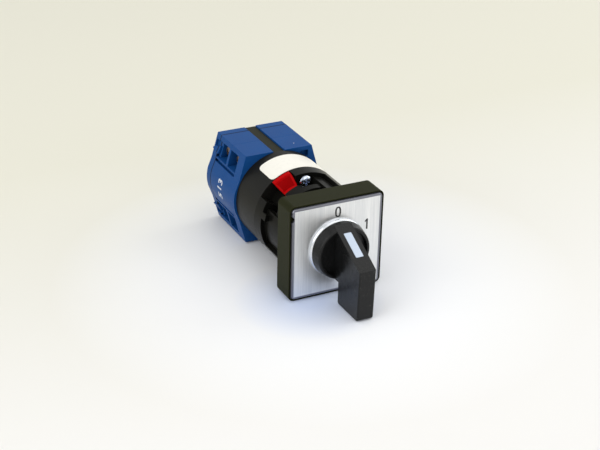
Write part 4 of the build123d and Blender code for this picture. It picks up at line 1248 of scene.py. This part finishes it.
@dataclass
class ContactBlock:
    """Two contact stages with their cover, straps, screws, clamps and moving bridges."""

    tie: ScrewSize = ScrewSize(1.85, 1.45, 0.5, 1.15, 19.0, 0.5, 0.8)
    terminal: ScrewSize = ScrewSize(1.6, 1.1, 0.35, 1.1, 3.0, 0.45, 0.6)
    half_height: float = 14.5
    flat_half: float = 11.1
    slope: float = 2.2 / 7.8
    recess: Corner = (47.0, 51.0, 10.4, 12.6)
    recess_depth: float = 0.8
    lug: Tuple[Corner, ...] = (
        (47.7, 8.8, -0.8, 0.3),
        (51.4, 9.5, -0.3, 0.45),
        (51.4, 10.0, -0.3, 0.45),
        (47.6, 11.3, -0.8, -0.2),
    )
    cheek: Tuple[Corner, ...] = (
        (47.0, 7.7, -2.8, -0.8),
        (48.6, 7.7, -2.8, -0.8),
        (48.6, 12.9, -2.8, -0.8),
        (47.0, 12.9, -2.8, -0.8),
    )
    front: Piece = Piece("stage_housing_front", Finish.BLUE, 0.18)
    notched: Tuple[Piece, ...] = (
        Piece("stage_housing_rear", Finish.BLUE, 0.18),
        Piece("end_cover", Finish.BLUE, 0.36, 3),
    )
    straps: Tuple[Piece, ...] = (
        Piece("stack_strap_top", Finish.STRAP, 0.1),
        Piece("stack_strap_bottom", Finish.STRAP, 0.1),
    )

    def build(self, screws: Screws) -> None:
        """Makes the block.

        Args:
            screws: The maker of recessed screws.
        """
        self.front.build()
        for piece in self.notched:
            piece.finished(self.recessed(piece.node))
        self.snaps()
        for piece in self.straps:
            piece.build()
        for stage in STAGES:
            for side in SIDES:
                self.contacts(f"{stage}_{side}")
        for side in SIDES:
            Piece(f"terminal_clamps_{side}", Finish.DULL, 0.08).build()
        self.fasteners(screws)

    def contacts(self, name: str) -> None:
        """Makes the plunger, bridge, spring and fixed contacts of one side of a stage.

        Args:
            name: The stage and side, as the nodes' names end.
        """
        body = Body(f"plunger_{name}")
        Piece(f"plunger_{name}", Finish.NATURAL, 0.06).build(body)
        Piece(f"bridge_{name}", Finish.COPPER, 0.06).build(body)
        carried(f"contact_spring_{name}", Finish.SPRING)
        Piece(f"fixed_contacts_{name}", Finish.COPPER, 0.06).build()

    def flank(self, height: float) -> float:
        """Half width of the block's sloping side at a height."""
        return self.flat_half + (self.half_height - height) * self.slope

    def prisms(self, name: str, outline: Sequence[Corner]) -> bpy.types.Object:
        """Stands the same prism on each of the four sloping sides.

        Args:
            name: The object's name.
            outline: Y, Z, inner and outer distance from the slope of each corner, in millimetres.

        Returns:
            The four prisms as one object.
        """
        shell = bmesh.new()
        for side in (-1.0, 1.0):
            for up in (-1.0, 1.0):
                inner, outer = [], []
                for y, z, low, high in outline:
                    for row, out in ((inner, low), (outer, high)):
                        x = side * (self.flank(z) + out)
                        row.append(shell.verts.new((x * MM, y * MM, up * z * MM)))
                shell.faces.new(inner)
                shell.faces.new(outer)
                for step in range(len(outline)):
                    after = (step + 1) % len(outline)
                    shell.faces.new((inner[step], inner[after], outer[after], outer[step]))
        bmesh.ops.recalc_face_normals(shell, faces=shell.faces)
        return linked(name, shell)

    def recessed(self, node: str) -> bpy.types.Object:
        """Cuts the snap recesses into a copy of a housing.

        Args:
            node: The CAD node to copy.

        Returns:
            The copy with its recesses.
        """
        front, back, low, high = self.recess
        sides = ((front, low), (back, low), (back, high), (front, high))
        cutter = self.prisms("snap_cutter", [(y, z, -self.recess_depth, 1.0) for y, z in sides])
        made = linked(f"{node}_moulding", welded(node))
        cut = made.modifiers.new("snaps", "BOOLEAN")
        cut.object = cutter
        cut.operation = "DIFFERENCE"
        cut.solver = "EXACT"
        settled(made)
        bpy.data.objects.remove(cutter)
        return made

    def snaps(self) -> None:
        """Makes the wedge lugs that hold the end cover, and the cheeks beside them."""
        for name, outline in (("snap_lugs", self.lug), ("snap_cheeks", self.cheek)):
            published(softened(self.prisms(name, outline), 0.1), Finish.BLUE)

    def fasteners(self, screws: Screws) -> None:
        """Makes the tie screws and terminal screws.

        Args:
            screws: The maker of recessed screws.
        """
        screws.build("tie_screws", self.tie, (0.0, 1.0, 0.0))
        for side, way in zip(SIDES, (-1.0, 1.0)):
            screws.build(f"terminal_screws_{side}", self.terminal, (way, 0.0, 0.0), Finish.DULL)


@dataclass(frozen=True)
class Lamp:
    """A soft square lamp: place and side in metres, power in watts."""

    name: str
    place: Point
    size: float
    power: float

    def build(self, aim: Point) -> None:
        """Hangs the lamp.

        Args:
            aim: The place that it faces.
        """
        light = bpy.data.lights.new(self.name, "AREA")
        light.energy = self.power
        light.size = self.size
        lamp = bpy.data.objects.new(self.name, light)
        lamp.location = self.place
        ahead = Vector(aim) - Vector(self.place)
        lamp.rotation_euler = ahead.to_track_quat("-Z", "Y").to_euler()
        bpy.context.scene.collection.objects.link(lamp)


@dataclass
class Studio:
    """Pale floor, soft lamps, white surroundings and the camera."""

    lamps: Tuple[Lamp, ...] = (
        Lamp("key", (0.16, 0.14, 0.84), 1.0, 1.8),
        Lamp("fill", (-0.75, -0.10, 0.50), 0.8, 3.4),
        Lamp("front", (0.20, -0.80, 0.45), 0.6, 1.1),
        Lamp("side", (0.72, -0.05, 0.42), 0.7, 2.2),
    )
    aim: Point = (0.0, 0.015, 0.0)
    floor: float = -15.0
    spread: float = 1.6
    near_floor: Colour = (0.83, 0.825, 0.81)
    # Painted light: a brighter, slightly blue patch on the floor round the switch, which offsets the shade of the
    # switch there.
    painted_light_floor: Colour = (0.915, 0.935, 0.98)
    far_floor: Colour = (0.735, 0.725, 0.63)
    painted_light_centre: Point = (0.0, 4.0, 0.0)
    painted_light_radius: float = 24.0
    painted_light_fade: float = 0.018
    # Painted shadow: a blue patch on the floor at the front left of the bezel.
    painted_shadow_floor: Colour = (0.66, 0.75, 0.97)
    painted_shadow_centre: Point = (-9.0, -9.0, -15.0)
    painted_shadow_radius: float = 4.0
    painted_shadow_fade: float = 0.055
    warm_start: float = -60.0
    warm_growth: float = 0.006
    view_colour: Colour = (0.88, 0.88, 0.86)
    air_colour: Colour = (1.0, 0.99, 0.965)
    air: float = 0.64
    white_rays: Tuple[str, ...] = ("Camera", "Glossy", "Transmission")
    camera_place: Point = (-0.16393, -0.30577, 0.17815)
    right: Point = (0.89488, -0.44590, 0.01908)
    down: Point = (-0.18578, -0.41105, -0.89248)
    ahead: Point = (0.40580, 0.79512, -0.45068)
    lens: float = 80.46
    sensor: float = 36.0

    def build(self) -> None:
        """Makes the floor, lamps, world and camera."""
        self.ground()
        for lamp in self.lamps:
            lamp.build(self.aim)
        self.world()
        self.camera()

    def ground(self) -> None:
        """Lays the pale floor."""
        shell = bmesh.new()
        bmesh.ops.create_grid(shell, x_segments=1, y_segments=1, size=self.spread)
        bmesh.ops.translate(shell, verts=shell.verts, vec=(0.0, 0.0, self.floor * MM))
        floor = linked("floor", shell)
        shade = Shade.named("pale_floor")
        place = shade.place()
        cloud = shade.noise(place, 0.004, 1.0)
        behind = (shade.axis(place, 1) - self.warm_start) * self.warm_growth
        share = (behind + (cloud - 0.5) * 0.1).share()
        tone = shade.mix(share, self.near_floor, self.far_floor)
        apart = {"operation": "DISTANCE"}
        # Two painted patches: light round the switch, and a blue shadow at the front left of the bezel.
        for colour, centre, radius, fade in (
            (self.painted_light_floor, self.painted_light_centre, self.painted_light_radius, self.painted_light_fade),
            (self.painted_shadow_floor, self.painted_shadow_centre, self.painted_shadow_radius, self.painted_shadow_fade),
        ):
            reach = shade.node("ShaderNodeVectorMath", apart, {0: place, 1: centre}, 1)
            tone = shade.mix((1.0 - (reach - radius) * fade).share(), tone, colour)
        matt = shade.surface(Base_Color=tone, Roughness=0.9, Specular_IOR_Level=0.1)
        floor.data.materials.append(matt)

    def world(self) -> None:
        """Surrounds the scene with soft white light and a white view."""
        world = bpy.data.worlds.new("studio")
        shade = Shade(world)
        kind = "ShaderNodeBackground"
        seen = shade.node(kind, None, {"Color": (*self.view_colour, 1.0)})
        light = shade.node(kind, None, {"Color": (*self.air_colour, 1.0), "Strength": self.air})
        rays = [shade.node("ShaderNodeLightPath", output=f"Is {ray} Ray") for ray in self.white_rays]
        share = (rays[0] + rays[1] + rays[2]).share()
        mixed = shade.node("ShaderNodeMixShader", None, {0: share, 1: light, 2: seen})
        shade.end("ShaderNodeOutputWorld", mixed)
        bpy.context.scene.world = world

    def camera(self) -> None:
        """Sets up the camera."""
        data = bpy.data.cameras.new("camera")
        data.lens = self.lens
        data.sensor_width = self.sensor
        data.clip_start = 0.01
        camera = bpy.data.objects.new("camera", data)
        right, up, back = Vector(self.right), -Vector(self.down), -Vector(self.ahead)
        turn = Matrix((right, up, back)).transposed()
        camera.matrix_world = Matrix.Translation(Vector(self.camera_place)) @ turn.to_4x4()
        bpy.context.scene.collection.objects.link(camera)
        bpy.context.scene.camera = camera


def main() -> None:
    """Builds the dressed switch and its studio."""
    logging.basicConfig(level=logging.INFO, format="%(name)s %(message)s")
    bpy.context.scene.view_settings.view_transform = "Standard"
    screws = Screws()
    FrontPlate().build()
    KnobSet().build()
    Ring().build(screws)
    Latch().build()
    ContactBlock().build(screws)
    Marks().build()
    Studio().build()


if __name__ == "__main__":
    main()
